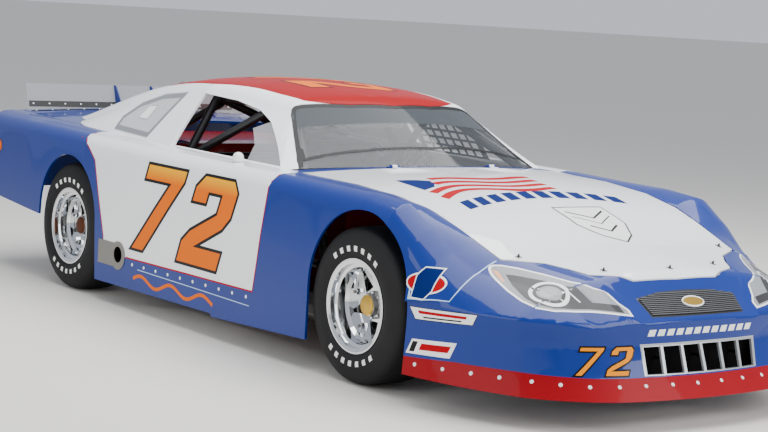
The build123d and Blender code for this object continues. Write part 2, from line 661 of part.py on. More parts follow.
# Chassis: rails, cross members and brackets as boxes and tubes
RAIL_Y = 600.0
RAIL_Z0 = 170.0
RAIL_Z1 = 270.0
SNOUT_Y = 360.0
CLIP_Y = 480.0
rail_rows = []
for sign in (-1, 1):
    rail_rows.append((-1000, 760, sign * RAIL_Y, sign * (RAIL_Y + 60), RAIL_Z0, RAIL_Z1))
    rail_rows.append((700, 1960, sign * (SNOUT_Y - 30), sign * (SNOUT_Y + 30), 190, 270))
    rail_rows.append((700, 760, sign * (SNOUT_Y - 30), sign * (RAIL_Y + 60), 190, RAIL_Z1))
    rail_rows.append((-1000, -940, sign * (CLIP_Y - 30), sign * (RAIL_Y + 60), RAIL_Z0, RAIL_Z1))
    rail_rows.append((-1000, -940, sign * (CLIP_Y - 30), sign * (CLIP_Y + 30), RAIL_Z0, 560))
    rail_rows.append((-2200, -940, sign * (CLIP_Y - 30), sign * (CLIP_Y + 30), 500, 560))
rail_rows += [
    (-2200, -2140, -CLIP_Y, CLIP_Y, 500, 560),
    (-1000, -940, -CLIP_Y, CLIP_Y, RAIL_Z0, 230),
    (1240, 1380, -SNOUT_Y, SNOUT_Y, 190, 240),
    (1900, 1960, -SNOUT_Y, SNOUT_Y, 190, 270),
]
frame_tubes = both_sides([
    [(760, 630, 250), (1100, 400, 600), (1700, 340, 560), (1930, 340, 260)],
    [(1100, 400, 600), (1180, 360, 260)],
    [(-970, 480, 540), (-2170, 480, 530), (-2230, 470, 300)],
])
with BuildPart() as frame:
    add(boxes(rail_rows))
    add(tubes(frame_tubes, 19))
    add(tubes([[(-2230, 470, 300), (-2230, -470, 300)], [(1400, 365, 580), (1400, -365, 580)]], 19))
keep("frame", frame.part)

# Roll cage
CAGE_R = 22.0
HOOP_X = -620.0
cage_paths = both_sides([
    [(HOOP_X, 630, 268), (HOOP_X, 690, 560), (HOOP_X, 690, 800), (HOOP_X, 515, 1125)],
    [(HOOP_X, 515, 1125), (60, 470, 1085), (470, 690, 830), (640, 690, 560), (640, 630, 268)],
    [(HOOP_X, 690, 420), (640, 690, 420)],
    [(HOOP_X, 690, 560), (640, 690, 560)],
    [(HOOP_X, 690, 700), (570, 690, 700)],
    [(HOOP_X, 500, 1080), (-1350, 480, 800), (-1560, 480, 555)],
    [(HOOP_X, 690, 790), (-100, 500, 1100)],
])
cross_bars = [
    [(HOOP_X, 515, 1125), (HOOP_X, -515, 1125)],
    [(60, 470, 1085), (60, -470, 1085)],
    [(470, 690, 830), (470, -690, 830)],
    [(HOOP_X, 690, 800), (HOOP_X, -690, 800)],
    [(HOOP_X, -515, 1110), (HOOP_X, 300, 800)],
    [(HOOP_X, 0, 1125), (60, -150, 1085)],
    [(HOOP_X, 690, 300), (HOOP_X, -690, 560)],
]
with BuildPart() as cage:
    add(tubes(cage_paths + cross_bars, CAGE_R))
    add(frame.part, mode=Mode.SUBTRACT)
keep("roll_cage", cage.part)

# Sheet metal inside: floor, firewall, bulkhead and the raised deck beside the driver
SHEET = 5.0
sheet_rows = [
    (-930, 690, -595, 595, RAIL_Z0, RAIL_Z0 + SHEET),
    (690, 690 + SHEET, -595, 595, RAIL_Z0, 780),
    (-930 - SHEET, -930, -595, 595, RAIL_Z0, 840),
    (-930, 440, -600, -40, 720, 720 + SHEET),
    (-930, 160, -45, -40, RAIL_Z0, 725),
    (160, 440, -45, -40, 425, 725),
    (-1700, -930, -440, 440, 835, 840),
]
with BuildPart() as sheet:
    add(boxes(sheet_rows))
    add(boxes([(680, 705, -125, 125, 182, 420), (-945, -920, -60, 60, 230, 370)]), mode=Mode.SUBTRACT)
    add(cage.part, mode=Mode.SUBTRACT)
    add(frame.part, mode=Mode.SUBTRACT)
keep("interior_panels", sheet.part)

# Driver's place on the left
SEAT_Y = 300.0
with BuildPart() as seat:
    with Locations((-470, SEAT_Y, 250)):
        Box(440, 400, 120)
    with Locations((-660, SEAT_Y, 560)):
        Box(70, 420, 640)
    with Locations((-560, SEAT_Y - 200, 480), (-560, SEAT_Y + 200, 480)):
        Box(260, 30, 360)
    with Locations((-600, SEAT_Y - 150, 800), (-600, SEAT_Y + 150, 800)):
        Box(170, 30, 160)
    with Locations((-470, SEAT_Y, 182)):
        Box(300, 300, 16)
    add(cage.part, mode=Mode.SUBTRACT)
    add(sheet.part, mode=Mode.SUBTRACT)
keep("seat", seat.part)

COLUMN_TILT = 20.0
COLUMN_R = 12.0
WHEEL_CENTRE = (-60.0, 300.0, 770.0)
column_dir = Vector(cos(radians(COLUMN_TILT)), 0, -sin(radians(COLUMN_TILT)))
column_plane = Plane(origin=WHEEL_CENTRE, z_dir=column_dir)
with BuildPart() as steering_wheel:
    with BuildSketch(column_plane):
        Circle(178)
        Circle(150, mode=Mode.SUBTRACT)
        with PolarLocations(0, 3, start_angle=90):
            with Locations((80, 0)):
                Rectangle(160, 34)
        Circle(45)
    extrude(amount=12, both=True)
    with BuildSketch(column_plane):
        Circle(24)
    extrude(amount=70)
    with BuildSketch(column_plane):
        Circle(COLUMN_R)
    extrude(amount=160)
keep("steering_wheel", steering_wheel.part)
with BuildPart() as dash:
    with BuildSketch(Plane(origin=tuple(Vector(*WHEEL_CENTRE) + column_dir * 72), z_dir=column_dir)):
        Circle(18)
    extrude(amount=560)
    with BuildSketch(Plane(origin=tuple(Vector(*WHEEL_CENTRE) + column_dir * 71), z_dir=column_dir)):
        Circle(COLUMN_R + RUNNING_CLEARANCE)
    extrude(amount=96, mode=Mode.SUBTRACT)
    with Locations((400, 0, 780)):
        Box(20, 1100, 104)
    with Locations((400, SEAT_Y, 665)):
        Box(20, 60, 140)
    with Locations((435, -400, 810), (435, 400, 810)):
        Box(70, 30, 12)
    add(cage.part, mode=Mode.SUBTRACT)
    add(sheet.part, mode=Mode.SUBTRACT)
keep("dashboard", dash.part)

with BuildPart() as net:
    with BuildSketch(Plane(origin=(-140, 650, 948), x_dir=(1, 0, 0), z_dir=(0, -0.8, -0.6))):
        Rectangle(560, 220)
        with GridLocations(70, 52, 7, 4):
            Rectangle(52, 36, mode=Mode.SUBTRACT)
    extrude(amount=3)
    add(tubes([[(-380, 586, 1032), (-380, 499, 1111)], [(-150, 586, 1032), (-150, 484, 1097)],
               [(80, 586, 1032), (80, 481, 1072)]], 4))
    add(cage.part, mode=Mode.SUBTRACT)
keep("window_net", net.part)

with BuildPart() as mirrors:
    with Locations((20, 0, 1045)):
        Box(14, 420, 60)
    with Locations((31, 0, 1075)):
        Box(20, 12, 40)
    add(cage.part, mode=Mode.SUBTRACT)
keep("inside_mirror", mirrors.part)

# Engine block, gearbox with shaft, radiator, fuel cell
keep("engine", boxes([(560 + 140, 1150, -270, 270, 250, 700)]))
with BuildPart() as driveline:
    with BuildSketch(Plane(origin=(690, 0, 300), z_dir=(-1, 0, 0))):
        Circle(110)
    extrude(amount=520, taper=5)
    with BuildSketch(Plane(origin=(170, 0, 300), z_dir=(-1, 0, 0.02))):
        Circle(38)
    extrude(amount=1367.3)
keep("driveline", driveline.part)
with BuildPart() as radiator:
    add(boxes([
        (1990, 2050, -330, 330, 200, 500), (1950, 2000, -260, -220, 205, 240), (1950, 2000, 220, 260, 205, 240),
    ]))
    add(frame.part, mode=Mode.SUBTRACT)
keep("radiator", radiator.part)
with BuildPart() as fuel_cell:
    add(boxes([
        (-2130, -1720, -330, 330, 300, 620), (-1960, -1900, -460, 460, 530, 540), (-2150, -2120, -60, 60, 530, 540),
    ]))
    add(frame.part, mode=Mode.SUBTRACT)
keep("fuel_cell", fuel_cell.part)

# Wheels: profiles run in (distance outwards from the tyre's middle, radius)
BEAD_HALF = 121.5
BEAD_CLEARANCE = 0.3
TYRE_PROFILE = (
    (-BEAD_HALF, BEAD_R + BEAD_CLEARANCE), (BEAD_HALF, BEAD_R + BEAD_CLEARANCE), (123.5, 208),
    (TYRE_HALF_WIDTH, 250), (124, 328), (TREAD_HALF_WIDTH, TYRE_R), (-TREAD_HALF_WIDTH, TYRE_R), (-124, 328),
    (-TYRE_HALF_WIDTH, 250), (-123.5, 208),
)
RIM_PROFILE = (
    (-130, 207), (-124, 207), (-122, 190.5), (-96, 189), (-88, 170), (40, 162), (58, 172), (92, 174), (98, 189),
    (122, 190.5), (124, 207), (130, 207), (130, 200), (126, 184.5), (102, 183), (98, 168), (60, 166), (44, 156),
    (-90, 164), (-98, 183), (-126, 184.5), (-130, 200),
)
DISC_U0 = 12.0
DISC_U1 = 18.0
PILOT_R = 62.0
ROTOR_R = 122.0
SNOUT_R = 48.0
HUB_GAP = 0.5
WHEEL_PLACES = (
    ("front_right", FRONT_AXLE_X, -1), ("front_left", FRONT_AXLE_X, 1),
    ("rear_right", REAR_AXLE_X, -1), ("rear_left", REAR_AXLE_X, 1),
)
for place, wx, sign in WHEEL_PLACES:
    wy = sign * WHEEL_Y
    keep("tyre_" + place, turned(TYRE_PROFILE, wx, wy, sign))
    disc_plane = Plane(origin=(wx, wy + sign * DISC_U0, AXLE_Z), x_dir=(1, 0, 0), z_dir=(0, sign, 0))
    with BuildPart() as rim:
        add(turned(RIM_PROFILE, wx, wy, sign))
        with BuildSketch(disc_plane):
            Circle(161)
            Circle(PILOT_R + HUB_GAP, mode=Mode.SUBTRACT)
            with PolarLocations(WHEEL_PITCH_R, WHEEL_STUDS, start_angle=-90 * sign):
                Circle(WHEEL_STUD_R + HUB_GAP, mode=Mode.SUBTRACT)
            with PolarLocations(120, WHEEL_STUDS, start_angle=-54 * sign):
                Trapezoid(62, 96, 105, rotation=90, mode=Mode.SUBTRACT)
        extrude(amount=DISC_U1 - DISC_U0)
    keep("rim_" + place, rim.part)
    hub_profile = (
        (-45, SPINDLE_R + RUNNING_CLEARANCE), (-45, 48), (-40, 56), (4, 58), (4, 146), (DISC_U0, 146),
        (DISC_U0, PILOT_R), (26, PILOT_R), (30, 52), (34, SNOUT_R), (56, SNOUT_R), (60, 44), (60, 0), (46, 0),
        (46, SPINDLE_R + RUNNING_CLEARANCE),
    )
    with BuildPart() as hub:
        add(turned(hub_profile, wx, wy, sign))
        add(turned(((-40, 54), (-40, ROTOR_R), (-18, ROTOR_R), (-18, 54)), wx, wy, sign))
        with BuildSketch(disc_plane):
            with PolarLocations(WHEEL_PITCH_R, WHEEL_STUDS, start_angle=-90 * sign):
                Circle(WHEEL_STUD_R)
        extrude(amount=32)
        with BuildSketch(disc_plane):
            with PolarLocations(102, WHEEL_STUDS, start_angle=-54 * sign):
                Circle(32)
        extrude(amount=-12, mode=Mode.SUBTRACT)
        with BuildSketch(disc_plane.offset(14)):
            with PolarLocations(55, 8):
                Circle(6)
        extrude(amount=7)
    keep("hub_" + place, hub.part)

# Knuckles: spindle, upright between the ball joints, steering arm and caliper
BALL_DZ = 112.0
ARM_DX = 118.0
for side, sign in (("right", -1), ("left", 1)):
    ky = sign * KINGPIN_Y
    with BuildPart() as knuckle:
        with BuildSketch(Plane(origin=(FRONT_AXLE_X, ky, AXLE_Z), x_dir=(1, 0, 0), z_dir=(0, sign, 0))):
            Circle(SPINDLE_R)
        extrude(amount=WHEEL_Y - KINGPIN_Y + 44)
        with Locations((FRONT_AXLE_X, ky - sign * 8, AXLE_Z)):
            Box(70, 24, 2 * BALL_DZ - 4)
        with Locations((FRONT_AXLE_X, ky, AXLE_Z - BALL_DZ + 8), (FRONT_AXLE_X, ky, AXLE_Z + BALL_DZ - 8)):
            Cylinder(16, 20)
        with Locations((FRONT_AXLE_X + ARM_DX / 2, ky - sign * 20, AXLE_Z + 15)):
            Box(ARM_DX + 20, 22, 18)
        with Locations((FRONT_AXLE_X - 90, ky - sign * 8, AXLE_Z)):
            Box(110, 12, 50)
        with Locations((FRONT_AXLE_X - 119, ky + sign * 24, AXLE_Z)):
            Box(58, 76, 76)
        with Locations((FRONT_AXLE_X - ROTOR_R - 5 + 50, sign * (WHEEL_Y - 29), AXLE_Z)):
            Box(100, 34, 90, mode=Mode.SUBTRACT)
    keep("knuckle_" + side, knuckle.part)

# Front suspension: arms, ball joints and coil-over units, all fixed to the frame
with BuildPart() as front_suspension:
    add(tubes(both_sides([
        [(1180, 345, 225), (FRONT_AXLE_X - 8, 762, AXLE_Z - BALL_DZ - 16)],
        [(1440, 345, 225), (FRONT_AXLE_X + 8, 762, AXLE_Z - BALL_DZ - 16)],
        [(1240, 375, 460), (FRONT_AXLE_X - 6, 762, AXLE_Z + BALL_DZ + 16)],
        [(1370, 375, 460), (FRONT_AXLE_X + 6, 762, AXLE_Z + BALL_DZ + 16)],
        [(1240, 590, 229), (1364, 590, 229)],
        [(1302, 590, 236), (1302, 500, 430)],
        [(1302, 500, 430), (1302, 440, 600)],
    ]), 13))
    spring_runs = [[(1302, 590 - 27, 294), (1302, 500 - 14, 470)], [(1302, 480, 484), (1302, 462, 540)]]
    add(tubes(both_sides(spring_runs), 34))
    for sign in (-1, 1):
        with Locations((FRONT_AXLE_X, sign * KINGPIN_Y, AXLE_Z - BALL_DZ - 12),
                       (FRONT_AXLE_X, sign * KINGPIN_Y, AXLE_Z + BALL_DZ + 12)):
            Cylinder(20, 18)
        with Locations((1302, sign * 385, 420)):
            Box(170, 26, 360)
        with Locations((1302, sign * 420, 600)):
            Box(40, 60, 30)
    add(frame.part, mode=Mode.SUBTRACT)
keep("front_suspension", front_suspension.part)

# Steering rack with its tie rods, sliding across the car in a housing on the frame
RACK_X = FRONT_AXLE_X + ARM_DX
RACK_Z = AXLE_Z + 40.0
RACK_R = 13.0
RACK_HALF = 396.0
TIE_ROD_R = 8.0
with BuildPart() as rack:
    with Locations((RACK_X, 0, RACK_Z)):
        Cylinder(RACK_R, 2 * RACK_HALF, rotation=(90, 0, 0))
        Cylinder(TIE_ROD_R, 2 * (KINGPIN_Y - 22), rotation=(90, 0, 0))
keep("steering_rack", rack.part)
with BuildPart() as rack_housing:
    with BuildSketch(Plane(origin=(RACK_X, -340, RACK_Z), z_dir=(0, 1, 0))):
        Circle(28)
        Circle(RACK_R + RUNNING_CLEARANCE, mode=Mode.SUBTRACT)
    extrude(amount=680)
    with Locations((RACK_X, -335, 320), (RACK_X, 335, 320)):
        Box(30, 20, 100)
    with BuildSketch(Plane(origin=(RACK_X, -400, RACK_Z), z_dir=(0, 1, 0))):
        Circle(RACK_R + RUNNING_CLEARANCE)
    extrude(amount=800, mode=Mode.SUBTRACT)
    add(front_suspension.part, mode=Mode.SUBTRACT)
    add(frame.part, mode=Mode.SUBTRACT)
keep("rack_housing", rack_housing.part)

# Rear axle with centre section, spindles and calipers
with BuildPart() as rear_axle:
    add(tubes([[(REAR_AXLE_X, -745, AXLE_Z), (REAR_AXLE_X, 745, AXLE_Z)]], 38))
    add(tubes([[(REAR_AXLE_X, -WHEEL_Y - 44, AXLE_Z), (REAR_AXLE_X, WHEEL_Y + 44, AXLE_Z)]], SPINDLE_R))
    with Locations((REAR_AXLE_X + 20, 0, AXLE_Z - 10)):
        Box(300, 210, 250)
    with Locations((REAR_AXLE_X - 150, 0, AXLE_Z)):
        Cylinder(95, 60, rotation=(0, 90, 0))
    for sign in (-1, 1):
        with Locations((REAR_AXLE_X + 70, sign * 752, AXLE_Z)):
            Box(100, 12, 50)
        with Locations((REAR_AXLE_X + 119, sign * (KINGPIN_Y + 20), AXLE_Z)):
            Box(58, 84, 76)
        with Locations((REAR_AXLE_X + ROTOR_R + 5 - 50, sign * (WHEEL_Y - 29), AXLE_Z)):
            Box(100, 34, 90, mode=Mode.SUBTRACT)
keep("rear_axle", rear_axle.part)
with BuildPart() as shaft:
    add(PARTS["driveline"])
    add(rear_axle.part, mode=Mode.SUBTRACT)
keep("driveline", shaft.part)
with BuildPart() as rear_suspension:
    add(tubes(both_sides([
        [(REAR_AXLE_X + 20, 640, 300), (-940, 645, 225)],
        [(REAR_AXLE_X, 560, AXLE_Z + 30), (REAR_AXLE_X, 530, 640)],
    ]), 14))
    add(tubes(both_sides([[(REAR_AXLE_X, 556, 400), (REAR_AXLE_X, 540, 540)]]), 36))
    add(tubes([[(REAR_AXLE_X - 205, -520, 330), (REAR_AXLE_X - 205, 490, 350)],
               [(REAR_AXLE_X - 205, 480, 350), (REAR_AXLE_X - 205, 480, 510)]], 12))
    for sign in (-1, 1):
        with Locations((REAR_AXLE_X, sign * 500, 620)):
            Box(50, 90, 30)
        with Locations((REAR_AXLE_X, sign * 470, 590)):
            Box(50, 20, 80)
    with Locations((REAR_AXLE_X - 120, -520, 330)):
        Box(190, 20, 40)
    add(rear_axle.part, mode=Mode.SUBTRACT)
    add(frame.part, mode=Mode.SUBTRACT)
keep("rear_suspension", rear_suspension.part)

# Exhaust: pipe to the outlet plate on the right side
with BuildPart() as exhaust:
    add(tubes([[(900, -300, 300), (860, -420, 118), (-450, -470, 118), (-640, -720, 118),
                (OUTLET_X, -840, OUTLET_Z), (OUTLET_X, -986, OUTLET_Z)]], PIPE_R + 6))
    with BuildSketch(Plane(origin=(0, -985, 0), x_dir=(1, 0, 0), z_dir=(0, -1, 0))):
        with Locations((-876, OUTLET_Z - 5)):
            Rectangle(212, 124)
        with Locations((OUTLET_X, OUTLET_Z - 5)):
            Circle(74)
    extrude(amount=3)
    with BuildSketch(Plane(origin=(0, -990, 0), x_dir=(1, 0, 0), z_dir=(0, -1, 0))):
        with Locations((OUTLET_X, OUTLET_Z)):
            Circle(PIPE_R)
    extrude(amount=-150, mode=Mode.SUBTRACT)
    add(frame.part, mode=Mode.SUBTRACT)
    add(PARTS["engine"], mode=Mode.SUBTRACT)
keep("exhaust", exhaust.part)

for name, piece in PARTS.items():
    export_step(piece, "parts/" + name + ".step")
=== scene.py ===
"""Dresses the stock car: paint, glass, wheels, numbers, trim, studio and camera.

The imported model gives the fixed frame. Sheet panels and panes are smooth copies of its nodes,
tyres and the seat's pads are modelled here, and prints, screws and trim are laid onto the panels.
Places on the car are in metres. Outlines in a drawing plane and sizes of small pieces are in
millimetres, unless a comment says otherwise. The right side of the car is that of negative y.
"""

import json
import logging
import math
from collections.abc import Iterable
from dataclasses import dataclass, field
from enum import Enum

import bmesh
import bpy
from mathutils import Matrix, Vector
from mathutils.bvhtree import BVHTree


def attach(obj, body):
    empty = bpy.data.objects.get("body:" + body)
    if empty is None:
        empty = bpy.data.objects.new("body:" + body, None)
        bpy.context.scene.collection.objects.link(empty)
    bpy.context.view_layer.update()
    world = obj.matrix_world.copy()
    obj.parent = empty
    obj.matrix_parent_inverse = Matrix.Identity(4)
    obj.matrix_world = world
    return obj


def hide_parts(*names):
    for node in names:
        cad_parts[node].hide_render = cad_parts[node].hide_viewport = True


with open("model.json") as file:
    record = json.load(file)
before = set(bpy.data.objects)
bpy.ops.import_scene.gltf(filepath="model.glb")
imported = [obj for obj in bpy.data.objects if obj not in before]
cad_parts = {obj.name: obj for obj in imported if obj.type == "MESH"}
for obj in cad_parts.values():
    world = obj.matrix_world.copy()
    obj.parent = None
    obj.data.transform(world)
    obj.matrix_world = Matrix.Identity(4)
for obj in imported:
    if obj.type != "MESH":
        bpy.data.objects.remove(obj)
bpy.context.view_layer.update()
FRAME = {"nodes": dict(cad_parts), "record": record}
RECORD = FRAME["record"]
BODY_OF = {node: body for body, nodes in RECORD["behaviour"]["bodies"].items() for node in nodes}
SLOT_OF = {row["node"]: row["material_slot"] for row in RECORD["subparts"]}

LOG = logging.getLogger("stock_car")
MM = 0.001
# places of the axles and of the wheels' middles
FRONT_AXLE_X = 1.3025
REAR_AXLE_X = -1.3675
AXLE_Z = 0.345
WHEEL_Y = 0.835
# name, place along the car and side of each wheel
WHEELS = (
    ("front_right", FRONT_AXLE_X, -1),
    ("front_left", FRONT_AXLE_X, 1),
    ("rear_right", REAR_AXLE_X, -1),
    ("rear_left", REAR_AXLE_X, 1),
)
# a ray that looks for the body's outside starts this far off, and packed vertices closer than
# WELD are one
RAY_START = 3.0
WELD = 0.00002
# unevenness of every finish: clouds per metre, detail of clouds and grain, and the gloss's spread
CLOUDS_PER_M = 7.0
CLOUD_DETAIL = 4.0
GRAIN_DETAIL = 3.0
GLOSS_SPREAD = 0.15
# origins of the drawing planes over the nose, at its front, over the car and behind it
LAMP_ORIGIN = (2.2, 0.0, 0.5)
FRONT_ORIGIN = (2.4, 0.0, 0.0)
TOP_ORIGIN = (0.0, 0.0, 1.0)
REAR_ORIGIN = (-2.6, 0.0, 0.0)

Point2 = tuple[float, float]
Point3 = tuple[float, float, float]
Outline = list[Point2]
Colour = tuple[float, float, float, float]


class Tone(str, Enum):
    """Main colours of the livery, as sRGB hex."""

    WHITE = "F1F3F4"
    BLUE = "00287C"
    RED = "960008"
    ORANGE = "E26A00"
    YELLOW = "F2A900"


def linear(tone: str) -> Colour:
    """Turns an sRGB hex colour to linear light by the standard's curve.

    Args:
        tone: Six hex digits.

    Returns:
        Linear red, green and blue, with alpha 1.
    """
    channels = [int(tone[i : i + 2], 16) / 255 for i in (0, 2, 4)]
    lin = [c / 12.92 if c <= 0.04045 else ((c + 0.055) / 1.055) ** 2.4 for c in channels]
    return (lin[0], lin[1], lin[2], 1.0)


def add_node(
    tree: bpy.types.NodeTree, kind: str, inputs: dict | None = None, **settings: object
) -> bpy.types.Node:
    """Adds a shader node with its settings, values and links.

    Args:
        tree: The material's node tree.
        kind: Node type name.
        inputs: Socket name or number to a value, or to the socket that feeds it.
        settings: Attributes set on the node.

    Returns:
        The new node.
    """
    node = tree.nodes.new(kind)
    for key, value in settings.items():
        setattr(node, key, value)
    for key, value in (inputs or {}).items():
        if isinstance(value, bpy.types.NodeSocket):
            tree.links.new(value, node.inputs[key])
        else:
            node.inputs[key].default_value = value
    return node


@dataclass(frozen=True)
class Finish:
    """A finish with one base colour and small real-scale unevenness.

    Broad clouds move its colour and gloss a little and a fine grain its normal, so that the surface
    reads as made material. mottle is the share by which the colour moves.
    """

    name: str
    tone: str
    roughness: float = 0.5
    metallic: float = 0.0
    coat: float = 0.0
    coat_roughness: float = 0.03
    grain_mm: float = 2.0
    bump_mm: float = 0.02
    mottle: float = 0.04
    specular: float = 0.5
    sheen: float = 0.0

    def colour(
        self, tree: bpy.types.NodeTree, place: bpy.types.NodeSocket
    ) -> Colour | bpy.types.NodeSocket:
        """Gives the base colour, or the socket that makes it."""
        return linear(self.tone)

    def build(self) -> bpy.types.Material:
        """Builds the material once.

        Returns:
            The Blender material.
        """
        if self.name in bpy.data.materials:
            return bpy.data.materials[self.name]
        material = bpy.data.materials.new(self.name)
        material.use_nodes = True
        tree = material.node_tree
        tree.nodes.clear()
        place = add_node(tree, "ShaderNodeTexCoord").outputs["Object"]
        grain = add_node(
            tree,
            "ShaderNodeTexNoise",
            {"Vector": place, "Scale": 1 / (self.grain_mm * MM), "Detail": GRAIN_DETAIL},
        ).outputs["Fac"]
        cloud = add_node(
            tree,
            "ShaderNodeTexNoise",
            {"Vector": place, "Scale": CLOUDS_PER_M, "Detail": CLOUD_DETAIL},
        ).outputs["Fac"]
        tint = self.colour(tree, place)
        if self.mottle:
            shade = add_node(
                tree,
                "ShaderNodeMapRange",
                {"Value": cloud, "To Min": 1 - self.mottle, "To Max": 1 + self.mottle},
            ).outputs["Result"]
            tint = add_node(
                tree,
                "ShaderNodeMix",
                {0: 1.0, 6: tint, 7: shade},
                data_type="RGBA",
                blend_type="MULTIPLY",
            ).outputs[2]
        low, high = self.roughness * (1 - GLOSS_SPREAD), self.roughness * (1 + GLOSS_SPREAD)
        rough = add_node(
            tree, "ShaderNodeMapRange", {"Value": cloud, "To Min": low, "To Max": min(1.0, high)}
        ).outputs["Result"]
        bump = add_node(
            tree,
            "ShaderNodeBump",
            {"Height": grain, "Strength": 1.0, "Distance": self.bump_mm * MM},
        ).outputs["Normal"]
        shader = add_node(
            tree,
            "ShaderNodeBsdfPrincipled",
            {
                "Base Color": tint,
                "Roughness": rough,
                "Metallic": self.metallic,
                "Coat Weight": self.coat,
                "Coat Roughness": self.coat_roughness,
                "Specular IOR Level": self.specular,
                "Sheen Weight": self.sheen,
                "Normal": bump,
            },
        )
        self.finish_shader(tree, shader, place)
        add_node(tree, "ShaderNodeOutputMaterial", {"Surface": shader.outputs[0]})
        return material

    def finish_shader(
        self, tree: bpy.types.NodeTree, shader: bpy.types.Node, place: bpy.types.NodeSocket
    ) -> None:
        """Lets a kind of finish set more sockets."""


@dataclass(frozen=True)
class SplitFinish(Finish):
    """A paint with a second colour above a line that curves along the body.

    line holds (place along the car, height) pairs in metres. The second colour ends half_width from
    the car's middle, and blur is half the width in metres over which one colour gives way.
    """

    other: str = Tone.RED
    line: tuple[Point2, ...] = ()
    half_width: float = 1.0
    blur: float = 0.0004

    def colour(
        self, tree: bpy.types.NodeTree, place: bpy.types.NodeSocket
    ) -> Colour | bpy.types.NodeSocket:
        """Mixes the two paints at the line.

        Args:
            tree: The material's node tree.
            place: The object coordinate.

        Returns:
            The colour socket.
        """
        axes = add_node(tree, "ShaderNodeSeparateXYZ", {0: place})
        first, last = self.line[0][0], self.line[-1][0]
        low = min(p[1] for p in self.line)
        span = max(p[1] for p in self.line) - low
        run = add_node(
            tree,
            "ShaderNodeMapRange",
            {"Value": axes.outputs["X"], "From Min": first, "From Max": last},
        ).outputs["Result"]
        edge_curve = add_node(tree, "ShaderNodeFloatCurve", {"Value": run})
        curve = edge_curve.mapping.curves[0]
        scaled = [((p[0] - first) / (last - first), (p[1] - low) / span) for p in self.line]
        curve.points[0].location = scaled[0]
        curve.points[1].location = scaled[-1]
        for point in scaled[1:-1]:
            curve.points.new(*point)
        edge_curve.mapping.update()
        edge = add_node(
            tree,
            "ShaderNodeMath",
            {0: edge_curve.outputs[0], 1: span, 2: low},
            operation="MULTIPLY_ADD",
        ).outputs[0]
        above = add_node(
            tree, "ShaderNodeMath", {0: axes.outputs["Z"], 1: edge}, operation="SUBTRACT"
        ).outputs[0]
        aside = add_node(
            tree, "ShaderNodeMath", {0: axes.outputs["Y"]}, operation="ABSOLUTE"
        ).outputs[0]
        inside = add_node(
            tree, "ShaderNodeMath", {0: self.half_width, 1: aside}, operation="SUBTRACT"
        ).outputs[0]
        least = add_node(
            tree, "ShaderNodeMath", {0: above, 1: inside}, operation="MINIMUM"
        ).outputs[0]
        mask = add_node(
            tree,
            "ShaderNodeMapRange",
            {"Value": least, "From Min": -self.blur, "From Max": self.blur},
        ).outputs["Result"]
        return add_node(
            tree,
            "ShaderNodeMix",
            {0: mask, 6: linear(self.tone), 7: linear(self.other)},
            data_type="RGBA",
        ).outputs[2]


@dataclass(frozen=True)
class FadeFinish(Finish):
    """A printed film that fades from one colour to another between two heights in metres."""

    other: str = Tone.YELLOW
    z_low: float = 0.3
    z_high: float = 0.8

    def colour(
        self, tree: bpy.types.NodeTree, place: bpy.types.NodeSocket
    ) -> Colour | bpy.types.NodeSocket:
        """Fades the print over its height.

        Args:
            tree: The material's node tree.
            place: The object coordinate.

        Returns:
            The colour socket.
        """
        axes = add_node(tree, "ShaderNodeSeparateXYZ", {0: place})
        height = add_node(
            tree,
            "ShaderNodeMapRange",
            {"Value": axes.outputs["Z"], "From Min": self.z_low, "From Max": self.z_high},
        ).outputs["Result"]
        return add_node(
            tree,
            "ShaderNodeMix",
            {0: height, 6: linear(self.tone), 7: linear(self.other)},
            data_type="RGBA",
        ).outputs[2]


@dataclass(frozen=True)
class ClearPane(Finish):
    """Polycarbonate sheet: clear, faintly grey, and denser past a line along one axis."""

    alpha: float = 0.16
    tint_alpha: float = 0.16
    tint_axis: str = "Z"
    # sign of the axis, the line's place along it, or None for no line, and half the width in
    # metres over which it blurs
    tint_way: float = 1.0
    tint_from: float | None = None
    tint_blur: float = 0.003
    # fall of the tint line away from the middle, in 1/m, and the gloss past the line
    tint_bow: float = 0.0
    tint_specular: float = 0.5

    def finish_shader(
        self, tree: bpy.types.NodeTree, shader: bpy.types.Node, place: bpy.types.NodeSocket
    ) -> None:
        """Makes the pane see-through, and denser past the tint line where it has one.

        Args:
            tree: The material's node tree.
            shader: The pane's shader node.
            place: The object coordinate.
        """
        shader.inputs["Alpha"].default_value = self.alpha
        if self.tint_from is None:
            return
        axes = add_node(tree, "ShaderNodeSeparateXYZ", {0: place})
        across = axes.outputs["Y"]
        square = add_node(
            tree, "ShaderNodeMath", {0: across, 1: across}, operation="MULTIPLY"
        ).outputs[0]
        reach = add_node(
            tree,
            "ShaderNodeMath",
            {0: axes.outputs[self.tint_axis], 1: self.tint_way},
            operation="MULTIPLY",
        ).outputs[0]
        level = add_node(
            tree,
            "ShaderNodeMath",
            {0: square, 1: self.tint_bow, 2: reach},
            operation="MULTIPLY_ADD",
        ).outputs[0]
        for socket, before, past in (
            ("Alpha", self.alpha, self.tint_alpha),
            ("Specular IOR Level", self.specular, self.tint_specular),
        ):
            if before == past:
                continue
            share = add_node(
                tree,
                "ShaderNodeMapRange",
                {
                    "Value": level,
                    "From Min": self.tint_from - self.tint_blur,
                    "From Max": self.tint_from + self.tint_blur,
                    "To Min": before,
                    "To Max": past,
                },
            ).outputs["Result"]
            tree.links.new(share, shader.inputs[socket])


# what sprayed enamel, cut vinyl film, printed lamp film and polycarbonate sheet have in common
SPRAYED = {"grain_mm": 4.0, "bump_mm": 0.012}
CUT_FILM = {"grain_mm": 8.0, "bump_mm": 0.005}
NUMBER_PRINT = {"grain_mm": 8.0, "bump_mm": 0.004, "specular": 0.06}
LAMP_PRINT = {"grain_mm": 6.0}
PANE = {"bump_mm": 0.0}

